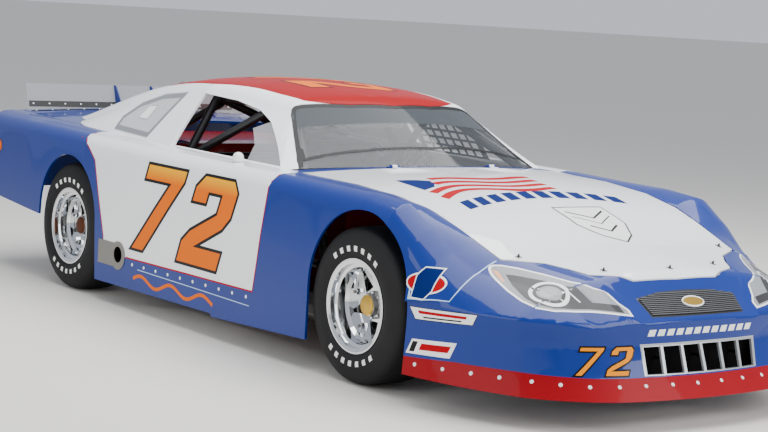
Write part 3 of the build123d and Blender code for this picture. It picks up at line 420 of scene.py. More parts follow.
# Acrylic enamel under clear coat, sprayed: deep colour, sharp reflections, slight orange peel
WHITE_PAINT = Finish("acrylic_enamel_white", Tone.WHITE, 0.42, coat=1.0, mottle=0.015, **SPRAYED)
BLUE_PAINT = Finish(
    "acrylic_enamel_blue", Tone.BLUE, 0.40, coat=0.5, mottle=0.03, specular=0.1, **SPRAYED
)
# The roof's red starts above this line of (place along the car, height), and is dull from the sun
ROOF_LINE = (
    (-1.75, 0.940), (-1.6245, 0.985), (-1.3655, 1.064), (-0.9395, 1.148), (-0.6025, 1.179),
    (-0.3645, 1.186), (-0.0765, 1.168), (0.1865, 1.134), (0.26, 1.112),
)
ROOF_PAINT = SplitFinish(
    "acrylic_enamel_roof", Tone.WHITE, 0.40, coat=0.08, mottle=0.015, specular=0.05,
    other=Tone.RED, line=ROOF_LINE, half_width=0.60, **SPRAYED,
)
# Enamel on interior sheet, sprayed: even and fairly glossy
RED_SHEET = Finish(
    "red_enamel_sheet", Tone.RED, 0.35, coat=0.6, grain_mm=5.0, bump_mm=0.02, mottle=0.05,
    specular=0.2,
)
# Moulded plastic lip, dipped red, dulled by stones
STRIP_PLASTIC = Finish(
    "moulded_plastic_red", "8E0010", 0.45, coat=0.08, grain_mm=3.0, bump_mm=0.03, mottle=0.08,
    specular=0.1,
)
# Slick racing rubber, moulded: nearly black, a soft broad sheen and a trace of dust
RACING_RUBBER = Finish(
    "moulded_racing_rubber", "0E0E0F", 0.66, grain_mm=1.6, bump_mm=0.10, mottle=0.22, specular=0.3
)
# Stencil paint rubbed onto rubber: chalky and matt
SIDEWALL_PAINT = Finish(
    "sidewall_stencil_white", "E9E9E4", 0.7, grain_mm=1.5, bump_mm=0.06, mottle=0.12
)
# Pressed steel, plated: mirror bright with faint pressing marks
PLATED_STEEL = Finish(
    "chromium_plated_steel", "E2E4E6", 0.07, metallic=1.0, grain_mm=30.0, bump_mm=0.05, mottle=0.03
)
# Turned steel, oiled: grey metal with fine tool marks
BARE_STEEL = Finish(
    "turned_steel", "8A8A88", 0.38, metallic=1.0, grain_mm=0.8, bump_mm=0.02, mottle=0.12
)
# Dry exhaust soot on steel, also painted shade inside the pipe's mouth: swallows the light
SOOT_AND_SHADE = Finish(
    "exhaust_soot_and_shade", "0A0909", 0.95, grain_mm=1.0, bump_mm=0.1, mottle=0.2, specular=0.05
)
# Aluminium sheet by the hot outlet, weathered: dull and slightly brown
DULL_ALUMINIUM = Finish(
    "weathered_aluminium", "8C8A84", 0.5, metallic=0.8, grain_mm=1.0, bump_mm=0.03, mottle=0.12
)
# Aluminium sheet, rolled: even satin metal
SHEET_ALUMINIUM = Finish(
    "rolled_aluminium", "B9BBBC", 0.35, metallic=1.0, grain_mm=1.0, bump_mm=0.02, mottle=0.08
)
# Matt near-black sheet, painted shade behind the lower grille: its openings read as shade
PAINTED_SHADE_SHEET = Finish(
    "painted_shade_sheet_black", "0A0A0B", 0.9, grain_mm=1.0, bump_mm=0.05, specular=0.05
)
# Sand-cast iron: dark, rough and patchy
CAST_IRON = Finish(
    "cast_iron", "3A3936", 0.75, metallic=0.6, grain_mm=1.5, bump_mm=0.2, mottle=0.2
)
# Steel tube, brushed with satin enamel: black with a soft highlight along it
BLACK_STEEL = Finish(
    "satin_black_enamel_tube", "121213", 0.42, coat=0.2, grain_mm=3.0, bump_mm=0.02
)
# Moulded plastics: fine grain, black, grey, and silver with a paint coat
BLACK_PLASTIC = Finish("moulded_black_plastic", "161617", 0.45, grain_mm=1.5, bump_mm=0.05)
GREY_PLASTIC = Finish("moulded_grey_plastic", "4A4B4D", 0.4, grain_mm=1.5, bump_mm=0.03)
SILVER_PLASTIC = Finish(
    "silver_painted_plastic", "A9ADB0", 0.28, metallic=0.35, coat=0.4, grain_mm=3.0
)
# Rubber tape wound on the steering wheel: matt and coarse
PADDED_GRIP = Finish("wrapped_grip_rubber", "1A1A1B", 0.8, grain_mm=2.0, bump_mm=0.2)
# Nylon, woven: matt black with a faint sheen
WEBBING = Finish("woven_nylon_webbing", "141415", 0.85, grain_mm=1.2, bump_mm=0.2, sheen=0.2)
# Cotton, quilted: soft near-black with some sheen
SEAT_CLOTH = Finish("quilted_seat_cloth", "1C1C1F", 0.85, grain_mm=1.0, bump_mm=0.25, sheen=0.3)
# Polycarbonate sheet, new: clear and glossy
CLEAR_WINDOW = ClearPane("polycarbonate_clear", "AEB4B8", 0.04, mottle=0.0, alpha=0.20, **PANE)
# Polycarbonate screen with a sun band along its top: smoky, and milky in the band
CLEAR_SCREEN = ClearPane(
    "polycarbonate_screen", "464B4F", 0.04, mottle=0.0, specular=0.8, alpha=0.32,
    tint_alpha=0.86, tint_from=1.062, tint_bow=0.11, tint_specular=0.08, **PANE,
)
# Polycarbonate behind the doors, rubbed milky by grit
SIDE_PANES = ClearPane(
    "polycarbonate_milky", "C8CACD", 0.15, mottle=0.02, alpha=0.30, tint_alpha=0.80,
    tint_axis="X", tint_way=-1.0, tint_from=0.7, **PANE,
)
# Steel screw heads, painted: small white domes
WHITE_SCREW = Finish("painted_screw_head", "F4F4F2", 0.3, coat=0.6, grain_mm=2.0)
# Calendered vinyl films: flat even colour, hardly glossy where the sun has dulled them
BLACK_FILM = Finish("vinyl_film_black", "050506", 0.4, coat=0.1, specular=0.15, **CUT_FILM)
WHITE_FILM = Finish("vinyl_film_white", "F2F2F0", 0.35, coat=0.5, mottle=0.01, **CUT_FILM)
GREY_FILM = Finish("vinyl_film_grey", "8E9092", 0.35, coat=0.5, **CUT_FILM)
PANE_FILM = Finish("vinyl_film_pane_grey", "7C8084", 0.4, coat=0.2, specular=0.2, **CUT_FILM)
PALE_BLUE_FILM = Finish("vinyl_film_pale_blue", "A9C8EE", 0.35, coat=0.5, **CUT_FILM)
RED_FILM = Finish("vinyl_film_red", "A80014", 0.5, mottle=0.02, specular=0.04, **CUT_FILM)
BLUE_FILM = Finish("vinyl_film_blue", "06205F", 0.5, mottle=0.02, specular=0.04, **CUT_FILM)
# Number films, printed: orange that fades to yellow up the door, and one flat colour elsewhere
NUMBER_FILM = FadeFinish(
    "vinyl_film_number", Tone.ORANGE, 0.45, mottle=0.01, z_low=0.700, z_high=0.762, **NUMBER_PRINT
)
FLAT_NUMBER_FILM = Finish("vinyl_film_orange", Tone.ORANGE, 0.45, mottle=0.02, **NUMBER_PRINT)
AMBER_NUMBER_FILM = Finish("vinyl_film_amber", "EE8E00", 0.45, mottle=0.02, **NUMBER_PRINT)
# Lamp films, printed as a photograph of glass: uneven silver and dark grey, and an amber corner
LAMP_FILM = Finish(
    "lamp_print_silver", "8B8F92", 0.3, coat=0.3, mottle=0.10, specular=0.2, **LAMP_PRINT
)
LAMP_DARK = Finish(
    "lamp_print_grey", "2B2C2E", 0.35, coat=0.3, mottle=0.22, specular=0.2, **LAMP_PRINT
)
AMBER_FILM = Finish("lamp_print_amber", "E58A45", 0.3, coat=0.8, **LAMP_PRINT)
# Hub caps: anodised aluminium in front, turned bronze behind, both with a metal's soft gleam
GOLD_CAP = Finish(
    "gold_anodised_aluminium", "C9A24A", 0.3, metallic=1.0, grain_mm=1.0, bump_mm=0.02
)
COPPER_CAP = Finish("turned_bronze", "5E3622", 0.5, metallic=1.0, grain_mm=1.0, bump_mm=0.02)
# Concrete floor, sealed: pale and matt
FLOOR_COAT = Finish("sealed_pale_floor", "D9D6CF", 0.75, grain_mm=6.0, bump_mm=0.05, mottle=0.03)


class Lay(Enum):
    """Directions along which a print is laid onto the body, as (right, up, along)."""

    RIGHT_SIDE = ((1, 0, 0), (0, 0, 1), (0, 1, 0))
    LEFT_SIDE = ((-1, 0, 0), (0, 0, 1), (0, -1, 0))
    TOP = ((0, 1, 0), (-1, 0, 0), (0, 0, -1))
    TOP_PLAN = ((1, 0, 0), (0, 1, 0), (0, 0, -1))
    FRONT = ((0, 1, 0), (0, 0, 1), (-1, 0, 0))
    REAR = ((0, -1, 0), (0, 0, 1), (1, 0, 0))
    NOSE_RIGHT = ((0.315, 0.949, 0), (0, 0, 1), (-0.949, 0.315, 0))
    LAMP_RIGHT = ((1, 0, 0), (0, 1, 0), (-0.42, 0.45, -0.788))
    LAMP_LEFT = ((1, 0, 0), (0, 1, 0), (-0.42, -0.45, -0.788))


def new_piece(
    name: str, bm: bmesh.types.BMesh, finish: Finish, body: str, slot: str, angle: float = 35.0
) -> bpy.types.Object:
    """Makes a finished object from a bmesh, with its place in its mesh.

    Args:
        name: Piece name.
        bm: The geometry in the row frame, freed here.
        finish: Its finish.
        body: The body it rides on.
        slot: The record's material slot; not used.
        angle: Edges sharper than this many degrees stay sharp.

    Returns:
        The new object.
    """
    mesh = bpy.data.meshes.new(name)
    bm.to_mesh(mesh)
    bm.free()
    obj = bpy.data.objects.new(name, mesh)
    bpy.context.scene.collection.objects.link(obj)
    mesh.materials.append(finish.build())
    mesh.shade_smooth()
    mesh.set_sharp_from_angle(angle=math.radians(angle))
    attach(obj, body)
    LOG.info("%s: %d faces", name, len(mesh.polygons))
    return obj


def join_bm(target: bmesh.types.BMesh, source: bmesh.types.BMesh) -> None:
    """Adds one bmesh's geometry to another.

    Args:
        target: The bmesh that grows.
        source: The bmesh that is added, freed here.
    """
    mesh = bpy.data.meshes.new("join")
    source.to_mesh(mesh)
    source.free()
    target.from_mesh(mesh)
    bpy.data.meshes.remove(mesh)


def add_box(target: bmesh.types.BMesh, size: Point3, middle: Point3) -> None:
    """Adds a plain box to a bmesh.

    Args:
        target: The bmesh that grows.
        size: The box's lengths in metres.
        middle: Its middle.
    """
    bm = bmesh.new()
    bmesh.ops.create_cube(bm, size=1.0)
    bmesh.ops.scale(bm, vec=size, verts=bm.verts[:])
    bmesh.ops.translate(bm, vec=middle, verts=bm.verts[:])
    join_bm(target, bm)


@dataclass
class Surface:
    """The outside of some nodes, onto which prints and screws are laid."""

    nodes: list[str]
    tree: BVHTree = field(init=False)

    def __post_init__(self) -> None:
        """Joins the nodes' meshes into one search tree."""
        bm = bmesh.new()
        for node in self.nodes:
            bm.from_mesh(FRAME["nodes"][node].data)
        self.tree = BVHTree.FromBMesh(bm)
        bm.free()

    def hit(self, point: Vector, along: Vector) -> tuple[Vector, Vector]:
        """Finds where a line from far outside first meets the surface.

        Args:
            point: Any point on the line.
            along: Its direction, into the body.

        Returns:
            The place and the outward normal.
        """
        place, normal, _, _ = self.tree.ray_cast(point - along * RAY_START, along)
        if place is None:
            place, normal, _, _ = self.tree.find_nearest(point)
        if normal.dot(along) > 0:
            normal = -normal
        return place, normal


@dataclass
class Flank:
    """One side of the car, with the ways in which prints are laid on it.

    sign is 1 on the right side and -1 on the left, so places are measured on the right side alone.
    """

    name: str
    sign: int
    lay: Lay
    lamp_lay: Lay
    surface: Surface

    @property
    def origin(self) -> Point3:
        """Gives the origin of the side's drawing plane, a metre out from the car's middle."""
        return (0.0, -float(self.sign), 0.0)

    def shape(self, points: Iterable[Point2]) -> Outline:
        """Brings (place along the car, height) pairs into the side's drawing plane."""
        return [(self.sign * x, z) for x, z in points]

    def places(self, points: Iterable[Point3]) -> list[Point3]:
        """Gives this side's places from the right side's."""
        return [(x, self.sign * y, z) for x, y, z in points]


def flatten(lay: Lay, origin: Point3, points: list[Point3]) -> Outline:
    """Brings measured places on the body into a print's drawing plane.

    Args:
        lay: How the print is laid.
        origin: The plane's origin in metres.
        points: Places in metres.

    Returns:
        Points in the plane, in millimetres.
    """
    right, up, along = (Vector(v) for v in lay.value)
    frame = Matrix((right, up, -along)).transposed().inverted()
    flat = [frame @ (Vector(point) - Vector(origin)) for point in points]
    return [(p.x / MM, p.y / MM) for p in flat]


def ellipse(u: float, v: float, ru: float, rv: float, count: int = 32) -> Outline:
    """Gives an upright ellipse's outline.

    Args:
        u: Its middle's place across the drawing plane.
        v: Its middle's place up the drawing plane.
        ru: Half its width.
        rv: Half its height.
        count: Its corners.

    Returns:
        The outline.
    """
    turns = [2 * math.pi * i / count for i in range(count)]
    return [(u + ru * math.cos(a), v + rv * math.sin(a)) for a in turns]


def band(path: Outline, width: float) -> Outline:
    """Gives the outline of a stripe along an open path.

    Args:
        path: The stripe's middle line.
        width: Its width.

    Returns:
        The outline, along one side and back along the other.
    """
    left, right = [], []
    for i, (u, v) in enumerate(path):
        a = path[max(i - 1, 0)]
        b = path[min(i + 1, len(path) - 1)]
        length = math.hypot(b[0] - a[0], b[1] - a[1])
        nu, nv = -(b[1] - a[1]) / length * width / 2, (b[0] - a[0]) / length * width / 2
        left.append((u + nu, v + nv))
        right.append((u - nu, v - nv))
    return left + right[::-1]


def rectangle(u0: float, u1: float, v0: float, v1: float) -> Outline:
    """Gives a rectangle's outline between its sides."""
    return [(u0, v0), (u1, v0), (u1, v1), (u0, v1)]


@dataclass
class Print:
    """Thin films cut to outlines and laid onto the body as one piece.

    outlines are in millimetres in the drawing plane of lay. border is the width of a rim in
    rim_finish, lift the film's height over the body, thick its thickness and step the width of the
    cells along which it bends.
    """

    name: str
    outlines: list[Outline]
    lay: Lay
    origin: Point3
    surface: Surface
    finish: Finish
    body: str
    slot: str
    rim_finish: Finish | None = None
    border: float = 0.0
    lift: float = 0.5
    step: float = 30.0
    rim_only: bool = False
    thick: float = 0.3

    def build(self) -> bpy.types.Object:
        """Cuts, lays and thickens the films.

        Returns:
            The film's object.
        """
        right, up, along = (Vector(v) for v in self.lay.value)
        along.normalize()
        base = Vector(self.origin)
        whole = bmesh.new()
        for outline in self.outlines:
            bm = bmesh.new()
            verts = [bm.verts.new(base + right * u * MM + up * v * MM) for u, v in outline]
            face = bm.faces.new(verts)
            bm.normal_update()
            if self.border:
                self.cut_rim(bm, face)
            self.cut_grid(bm, right, up, outline)
            bmesh.ops.triangulate(
                bm, faces=bm.faces[:], quad_method="BEAUTY", ngon_method="BEAUTY"
            )
            for vert in bm.verts:
                place, normal = self.surface.hit(vert.co, along)
                vert.co = place + normal * self.lift * MM
            bm.normal_update()
            if sum(f.normal.dot(along) * f.calc_area() for f in bm.faces) > 0:
                bmesh.ops.reverse_faces(bm, faces=bm.faces[:])
            bmesh.ops.solidify(bm, geom=bm.faces[:], thickness=-self.thick * MM)
            join_bm(whole, bm)
        obj = new_piece(self.name, whole, self.finish, self.body, self.slot, angle=60.0)
        if self.rim_finish:
            obj.data.materials.append(self.rim_finish.build())
        return obj

    def cut_rim(self, bm: bmesh.types.BMesh, face: bmesh.types.BMFace) -> None:
        """Sets a rim in its own finish round the flat film, or leaves nothing but the rim.

        Args:
            bm: The flat film.
            face: Its one face.
        """
        made = bmesh.ops.inset_region(
            bm, faces=[face], thickness=self.border * MM, use_boundary=True, use_even_offset=True
        )
        for rim in made["faces"]:
            rim.material_index = 1
        if self.rim_only:
            field_faces = [f for f in bm.faces if f.material_index == 0]
            bmesh.ops.delete(bm, geom=field_faces, context="FACES")

    def cut_grid(
        self, bm: bmesh.types.BMesh, right: Vector, up: Vector, outline: Outline
    ) -> None:
        """Cuts the flat film along a grid so that it can bend with the body.

        Args:
            bm: The flat film.
            right: The drawing plane's first direction.
            up: Its second direction.
            outline: The film's outline in the plane.
        """
        base = Vector(self.origin)
        for axis, index in ((right, 0), (up, 1)):
            low = min(p[index] for p in outline)
            high = max(p[index] for p in outline)
            count = int((high - low) / self.step)
            for i in range(1, count + 1):
                cut = base + axis * (low + (high - low) * i / (count + 1)) * MM
                geom = bm.verts[:] + bm.edges[:] + bm.faces[:]
                bmesh.ops.bisect_plane(bm, geom=geom, plane_co=cut, plane_no=axis)


@dataclass
class Screws:
    """A set of domed screw heads standing on the body."""

    name: str
    places: list[Point3]
    lay: Lay
    surface: Surface
    finish: Finish
    body: str
    slot: str
    radius: float = 8.0
    height: float = 3.5
    sides: int = 12
    # the head's top and its bevel as shares of the radius, and its middle's lift as one of the
    # height
    top_share: float = 0.45
    bevel_share: float = 0.18
    lift_share: float = 0.4

    def build(self) -> bpy.types.Object:
        """Sets a domed head square to the surface at each place.

        Returns:
            The screws' object.
        """
        along = Vector(self.lay.value[2]).normalized()
        whole = bmesh.new()
        for spot in self.places:
            place, normal = self.surface.hit(Vector(spot), along)
            turn = normal.to_track_quat("Z", "Y").to_matrix().to_4x4()
            bm = bmesh.new()
            bmesh.ops.create_cone(
                bm, cap_ends=True, segments=self.sides, radius1=self.radius * MM,
                radius2=self.radius * self.top_share * MM, depth=self.height * MM,
            )
            top = [e for e in bm.edges if all(v.co.z > 0 for v in e.verts)]
            bmesh.ops.bevel(
                bm, geom=top, offset=self.radius * self.bevel_share * MM, segments=1, profile=0.5,
                affect="EDGES", material=-1,
            )
            bmesh.ops.transform(bm, matrix=turn, verts=bm.verts[:])
            stand = place + normal * self.height * self.lift_share * MM
            bmesh.ops.translate(bm, vec=stand, verts=bm.verts[:])
            join_bm(whole, bm)
        return new_piece(self.name, whole, self.finish, self.body, self.slot, angle=50.0)


@dataclass
class Panels:
    """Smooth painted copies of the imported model's sheet and moulded pieces."""

    finishes: dict[str, Finish]

    def build(self) -> None:
        """Copies each node, merges its loose triangles and paints it."""
        for node, finish in self.finishes.items():
            bm = bmesh.new()
            bm.from_mesh(FRAME["nodes"][node].data)
            bmesh.ops.remove_doubles(bm, verts=bm.verts[:], dist=WELD)
            obj = new_piece(node + "_skin", bm, finish, BODY_OF[node], SLOT_OF[node], angle=28.0)
            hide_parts(node)


@dataclass
class Plain:
    """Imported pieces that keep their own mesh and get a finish."""

    finishes: dict[str, Finish]

    def build(self) -> None:
        """Gives each node its material."""
        for node, finish in self.finishes.items():
            mesh = FRAME["nodes"][node].data
            mesh.materials.clear()
            mesh.materials.append(finish.build())
            LOG.info("%s finished", node)


@dataclass(frozen=True)
class Turned:
    """A ring of round or hexagonal blocks that stand out from a wheel, in millimetres."""

    # radius of their circle, their middle's distance outwards, foot and head radius and depth
    circle: float
    middle: float
    foot: float
    head: float
    depth: float
    sides: int
    count: int = 1
    first_angle: float = 0.0
    bevel: float = 1.6


@dataclass
class Wheel:
    """A racing tyre with its plain sidewall marks, hub cap and wheel nuts.

    Sizes are in millimetres: half_profile rows are (distance outwards from the tyre's middle,
    radius), from the outer bead to the tread's middle.
    """

    place: str
    x: float
    side: int
    cap_finish: Finish
    half_profile: tuple[Point2, ...] = (
        (121, 191.4), (122.5, 203), (126, 210), (133, 224), (138, 248), (137, 270), (133, 292),
        (127, 311), (119, 326), (110, 335), (98, 340.5), (70, 343.4), (30, 344.7), (0, 345),
    )
    steps: int = 112
    nuts: Turned = Turned(130.0, 27.0, 17.0, 12.5, 18.0, 6, 5, 90.0)
    cap: Turned = Turned(0.0, 63.5, 47.0, 42.3, 7.0, 40)
    bolts: Turned = Turned(55.0, 36.0, 8.5, 7.0, 6.0, 12, 8)
    # the sidewall's dashes: inner and outer radius, lift, angles at which their two rows start,
    # dashes in a row, degrees from one to the next and degrees that each takes
    dash_radii: Point2 = (238.0, 262.0)
    dash_lift: float = 0.5
    dash_starts: Point2 = (52.0, 232.0)
    dashes: int = 7
    dash_pitch: float = 12.0
    dash_angle: float = 5.2
    dash_thick: float = 0.3

    def at(self, u: float, r: float, angle: float = 90.0) -> Vector:
        """Gives a place on the wheel.

        Args:
            u: Its distance outwards from the tyre's middle.
            r: Its distance from the axle.
            angle: Its angle about the axle in degrees, 90 at the top.

        Returns:
            The place in metres.
        """
        a = math.radians(angle)
        y = self.side * (WHEEL_Y + u * MM)
        return Vector((self.x + r * MM * math.cos(a), y, AXLE_Z + r * MM * math.sin(a)))

    def spun(
        self, rows: Outline, close: bool, angle: float = 360.0, start: float = 90.0
    ) -> bmesh.types.BMesh:
        """Spins a profile about the axle.

        Args:
            rows: Profile points.
            close: Whether the profile is joined end to end.
            angle: Degrees turned.
            start: Angle at which the profile stands.

        Returns:
            The spun geometry.
        """
        bm = bmesh.new()
        verts = [bm.verts.new(self.at(u, r, start)) for u, r in rows]
        pairs = list(zip(verts, verts[1:])) + ([(verts[-1], verts[0])] if close else [])
        edges = [bm.edges.new(pair) for pair in pairs]
        bmesh.ops.spin(
            bm, geom=verts + edges, cent=self.at(0, 0), axis=(0, 1, 0),
            angle=-math.radians(angle), steps=max(3, round(self.steps * angle / 360)),
            use_merge=angle == 360.0, use_duplicate=False,
        )
        bmesh.ops.recalc_face_normals(bm, faces=bm.faces[:])
        return bm

    def wall(self, r: float) -> float:
        """Gives the outer sidewall's outward distance at a radius.

        Args:
            r: The radius, between the bead and the tread's shoulder.

        Returns:
            The distance from the tyre's middle.
        """
        rows = self.half_profile
        for (ua, ra), (ub, rb) in zip(rows, rows[1:]):
            if ra <= r <= rb:
                return ua + (ub - ua) * (r - ra) / (rb - ra)
        return rows[0][0]

    def build(self) -> None:
        """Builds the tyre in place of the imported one, then its marks, nuts, cap and bolts."""
        body = "wheel_" + self.place
        inner = [(-u, r) for u, r in self.half_profile]
        rows = inner + list(self.half_profile[-2::-1])
        tyre = new_piece(
            "tyre_tread_" + self.place, self.spun(rows, True), RACING_RUBBER, body, "tyre_rubber",
            angle=50.0,
        )
        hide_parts("tyre_" + self.place)
        marks = bmesh.new()
        low, high = self.dash_radii
        rows = [(self.wall(r) + self.dash_lift, r) for r in (low, (low + high) / 2, high)]
        for first in self.dash_starts:
            for i in range(self.dashes):
                dash = self.spun(rows, False, self.dash_angle, first + i * self.dash_pitch)
                bmesh.ops.solidify(dash, geom=dash.faces[:], thickness=self.dash_thick * MM)
                join_bm(marks, dash)
        new_piece("sidewall_dashes_" + self.place, marks, SIDEWALL_PAINT, body, "tyre_rubber")
        for name, blocks, finish, slot in (
            ("wheel_nuts_", self.nuts, PLATED_STEEL, "wheel_chrome"),
            ("hub_cap_", self.cap, self.cap_finish, "raw_steel"),
            ("hub_bolts_", self.bolts, PLATED_STEEL, "raw_steel"),
        ):
            new_piece(name + self.place, self.turned(blocks), finish, body, slot)

    def turned(self, blocks: Turned) -> bmesh.types.BMesh:
        """Sets a ring of bevelled blocks on the wheel.

        Args:
            blocks: Their sizes.

        Returns:
            The blocks' geometry.
        """
        whole = bmesh.new()
        turn = Vector((0, self.side, 0)).to_track_quat("Z", "X").to_matrix().to_4x4()
        for i in range(blocks.count):
            bm = bmesh.new()
            bmesh.ops.create_cone(
                bm, cap_ends=True, segments=blocks.sides, radius1=blocks.foot * MM,
                radius2=blocks.head * MM, depth=blocks.depth * MM,
            )
            top = [e for e in bm.edges if all(v.co.z > 0 for v in e.verts)]
            bmesh.ops.bevel(
                bm, geom=top, offset=blocks.bevel * MM, segments=2, profile=0.5, affect="EDGES",
                material=-1,
            )
            bmesh.ops.transform(bm, matrix=turn, verts=bm.verts[:])
            angle = blocks.first_angle + 360.0 * i / blocks.count
            place = self.at(blocks.middle, blocks.circle, angle)
            bmesh.ops.translate(bm, vec=place, verts=bm.verts[:])
            join_bm(whole, bm)
        return whole


# the two figures' outlines, as shares of a figure's width and height
SEVEN = ((0.0, 1.0), (1.0, 1.0), (1.0, 0.84), (0.44, 0.0), (0.06, 0.0), (0.60, 0.78), (0.0, 0.78))
TWO = (
    (0.0, 0.66), (0.0, 0.86), (0.16, 1.0), (0.84, 1.0), (1.0, 0.86), (1.0, 0.58), (0.88, 0.44),
    (0.48, 0.25), (1.0, 0.25), (1.0, 0.0), (0.0, 0.0), (0.0, 0.27), (0.14, 0.40), (0.62, 0.62),
    (0.62, 0.78), (0.38, 0.78), (0.38, 0.66),
)


@dataclass
class RaceNumber:
    """The car's two-digit number, as broad leaning block figures with a dark rim.

    Sizes are in millimetres in the drawing plane: start and foot are its lower left corner, width
    is one figure's, lean its shift over the height, and gap stands between the figures.
    """

    name: str
    lay: Lay
    origin: Point3
    surface: Surface
    finish: Finish
    slot: str
    start: float
    foot: float
    width: float
    height: float
    lean: float
    gap: float
    rim: float

    def build(self) -> bpy.types.Object:
        """Lays both figures as one film.

        Returns:
            The number's object.
        """
        outlines = []
        for i, figure in enumerate((SEVEN, TWO)):
            left = self.start + i * (self.width + self.gap)
            outlines.append(
                [
                    (left + u * self.width + v * self.lean, self.foot + v * self.height)
                    for u, v in figure
                ]
            )
        return Print(
            self.name, outlines, self.lay, self.origin, self.surface, self.finish, "body",
            self.slot, rim_finish=BLACK_FILM, border=self.rim,
        ).build()


@dataclass
class SeatPads:
    """Padded cloth cushions on the driver's shell seat."""

    # x, y, z, length, width, thickness of each pad, and the rounding of its edges, in metres
    pads: tuple[tuple[float, ...], ...] = (
        (-0.455, 0.300, 0.327, 0.36, 0.36, 0.034),
        (-0.607, 0.300, 0.560, 0.036, 0.34, 0.46),
        (-0.607, 0.300, 0.800, 0.036, 0.22, 0.13),
    )
    rounding: float = 0.014

    def build(self) -> None:
        """Builds each cushion from a rounded block."""
        for i, (x, y, z, length, width, thick) in enumerate(self.pads):
            bm = bmesh.new()
            bmesh.ops.create_cube(bm, size=1.0)
            bmesh.ops.scale(bm, vec=(length, width, thick), verts=bm.verts[:])
            bmesh.ops.bevel(
                bm, geom=bm.edges[:], offset=self.rounding, segments=3, profile=0.5,
                affect="EDGES", material=-1,
            )
            bmesh.ops.subdivide_edges(bm, edges=bm.edges[:], cuts=3, use_grid_fill=True)
            bmesh.ops.translate(bm, vec=(x, y, z), verts=bm.verts[:])
            pad = new_piece(f"seat_pad_{i}", bm, SEAT_CLOTH, "body", "black_aluminium")


@dataclass
class Lamps:
    """Printed headlamps on the nose: silver bowl, dark bezel, projector ring and amber corner."""

    flanks: tuple[Flank, ...]
    surface: Surface
    # x, y, z of the print's outline on the right side, in metres
    outline: tuple[Point3, ...] = (
        (1.930, -0.751, 0.606), (1.938, -0.762, 0.596), (1.959, -0.770, 0.580),
        (2.010, -0.776, 0.557), (2.086, -0.781, 0.528), (2.168, -0.775, 0.500),
        (2.239, -0.755, 0.480), (2.286, -0.694, 0.472), (2.317, -0.608, 0.471),
        (2.349, -0.520, 0.470), (2.378, -0.429, 0.461), (2.393, -0.363, 0.454),
        (2.363, -0.363, 0.478), (2.333, -0.390, 0.500), (2.289, -0.412, 0.534),
        (2.277, -0.425, 0.543), (2.254, -0.470, 0.557), (2.194, -0.535, 0.574),
        (2.095, -0.593, 0.592), (2.003, -0.660, 0.607), (1.955, -0.707, 0.613),
        (1.935, -0.735, 0.612),
    )
    # x, y of the shapes inside it, and a height over the nose from which they drop, in metres
    bezel: tuple[Point2, ...] = (
        (2.007, -0.724), (2.036, -0.697), (2.132, -0.624), (2.209, -0.576), (2.236, -0.542),
        (2.309, -0.516), (2.341, -0.403), (2.374, -0.396), (2.339, -0.512), (2.274, -0.684),
        (2.224, -0.743), (2.166, -0.752), (2.072, -0.743),
    )
    amber: tuple[Point2, ...] = ((1.951, -0.753), (1.974, -0.738), (2.038, -0.751), (2.030, -0.761))
    reflector: tuple[Point2, ...] = (
        (2.240, -0.528), (2.279, -0.427), (2.341, -0.403), (2.310, -0.511),
    )
    gleam: tuple[Point2, ...] = ((2.168, -0.598), (2.291, -0.564), (2.292, -0.570), (2.169, -0.605))
    drop_height: float = 0.6
    # the projector ring: its middle, its two half axes and its corners
    ring_middle: Point2 = (2.202, -0.657)
    ring_across: Point2 = (0.054, 0.0645)
    ring_along: Point2 = (0.0535, -0.0435)
    ring_corners: int = 28
    # millimetres: the rim's width, the lowest film's lift and each next film's, and the cells
    rim: float = 11.0
    first_lift: float = 0.5
    layer_lift: float = 0.4
    step: float = 24.0

    def ring(self, size: float) -> list[Point2]:
        """Gives the projector ring's outline.

        Args:
            size: Share of its full size.

        Returns:
            Plan points in metres.
        """
        (u, v), (au, av), (bu, bv) = self.ring_middle, self.ring_across, self.ring_along
        out = []
        for i in range(self.ring_corners):
            a = 2 * math.pi * i / self.ring_corners
            c, s = size * math.cos(a), size * math.sin(a)
            out.append((u + au * c + bu * s, v + av * c + bv * s))
        return out

    def dropped(self, points: Iterable[Point2], flank: Flank) -> list[Point3]:
        """Drops the right side's plan points onto one side of the nose.

        Args:
            points: Plan points in metres.
            flank: The side.

        Returns:
            Places on the nose.
        """
        down = Vector((0, 0, -1))
        plan = flank.places((x, y, self.drop_height) for x, y in points)
        return [tuple(self.surface.hit(Vector(point), down)[0]) for point in plan]

    def build(self) -> None:
        """Lays the films of both lamps, lowest first."""
        shapes = (
            ("bezel", self.bezel, LAMP_DARK, 1),
            ("amber", self.amber, AMBER_FILM, 1),
            ("reflector", self.reflector, LAMP_FILM, 2),
            ("ring", self.ring(1.0), WHITE_FILM, 2),
            ("ring_gap", self.ring(0.80), LAMP_DARK, 3),
            ("lens_edge", self.ring(0.62), LAMP_FILM, 4),
            ("lens", self.ring(0.50), GREY_FILM, 5),
            ("gleam", self.gleam, WHITE_FILM, 3),
        )
        rim = {"rim_finish": WHITE_FILM, "border": self.rim}
        for flank in self.flanks:
            self.film("bowl", flank.places(self.outline), LAMP_FILM, 0, flank, **rim)
            for part, points, finish, layer in shapes:
                self.film(part, self.dropped(points, flank), finish, layer, flank)

    def film(
        self, part: str, points: list[Point3], finish: Finish, layer: int, flank: Flank,
        **more: object,
    ) -> None:
        """Lays one film of a lamp.

        Args:
            part: The film's name.
            points: Its outline on the nose.
            finish: Its finish.
            layer: How many films lie under it.
            flank: The lamp's side.
            more: Further settings of the print.
        """
        Print(
            f"lamp_{part}_{flank.name}", [flatten(flank.lamp_lay, LAMP_ORIGIN, points)],
            flank.lamp_lay, LAMP_ORIGIN, self.surface, finish, "body", "printed_lamp",
            lift=self.first_lift + self.layer_lift * layer, step=self.step, **more,
        ).build()


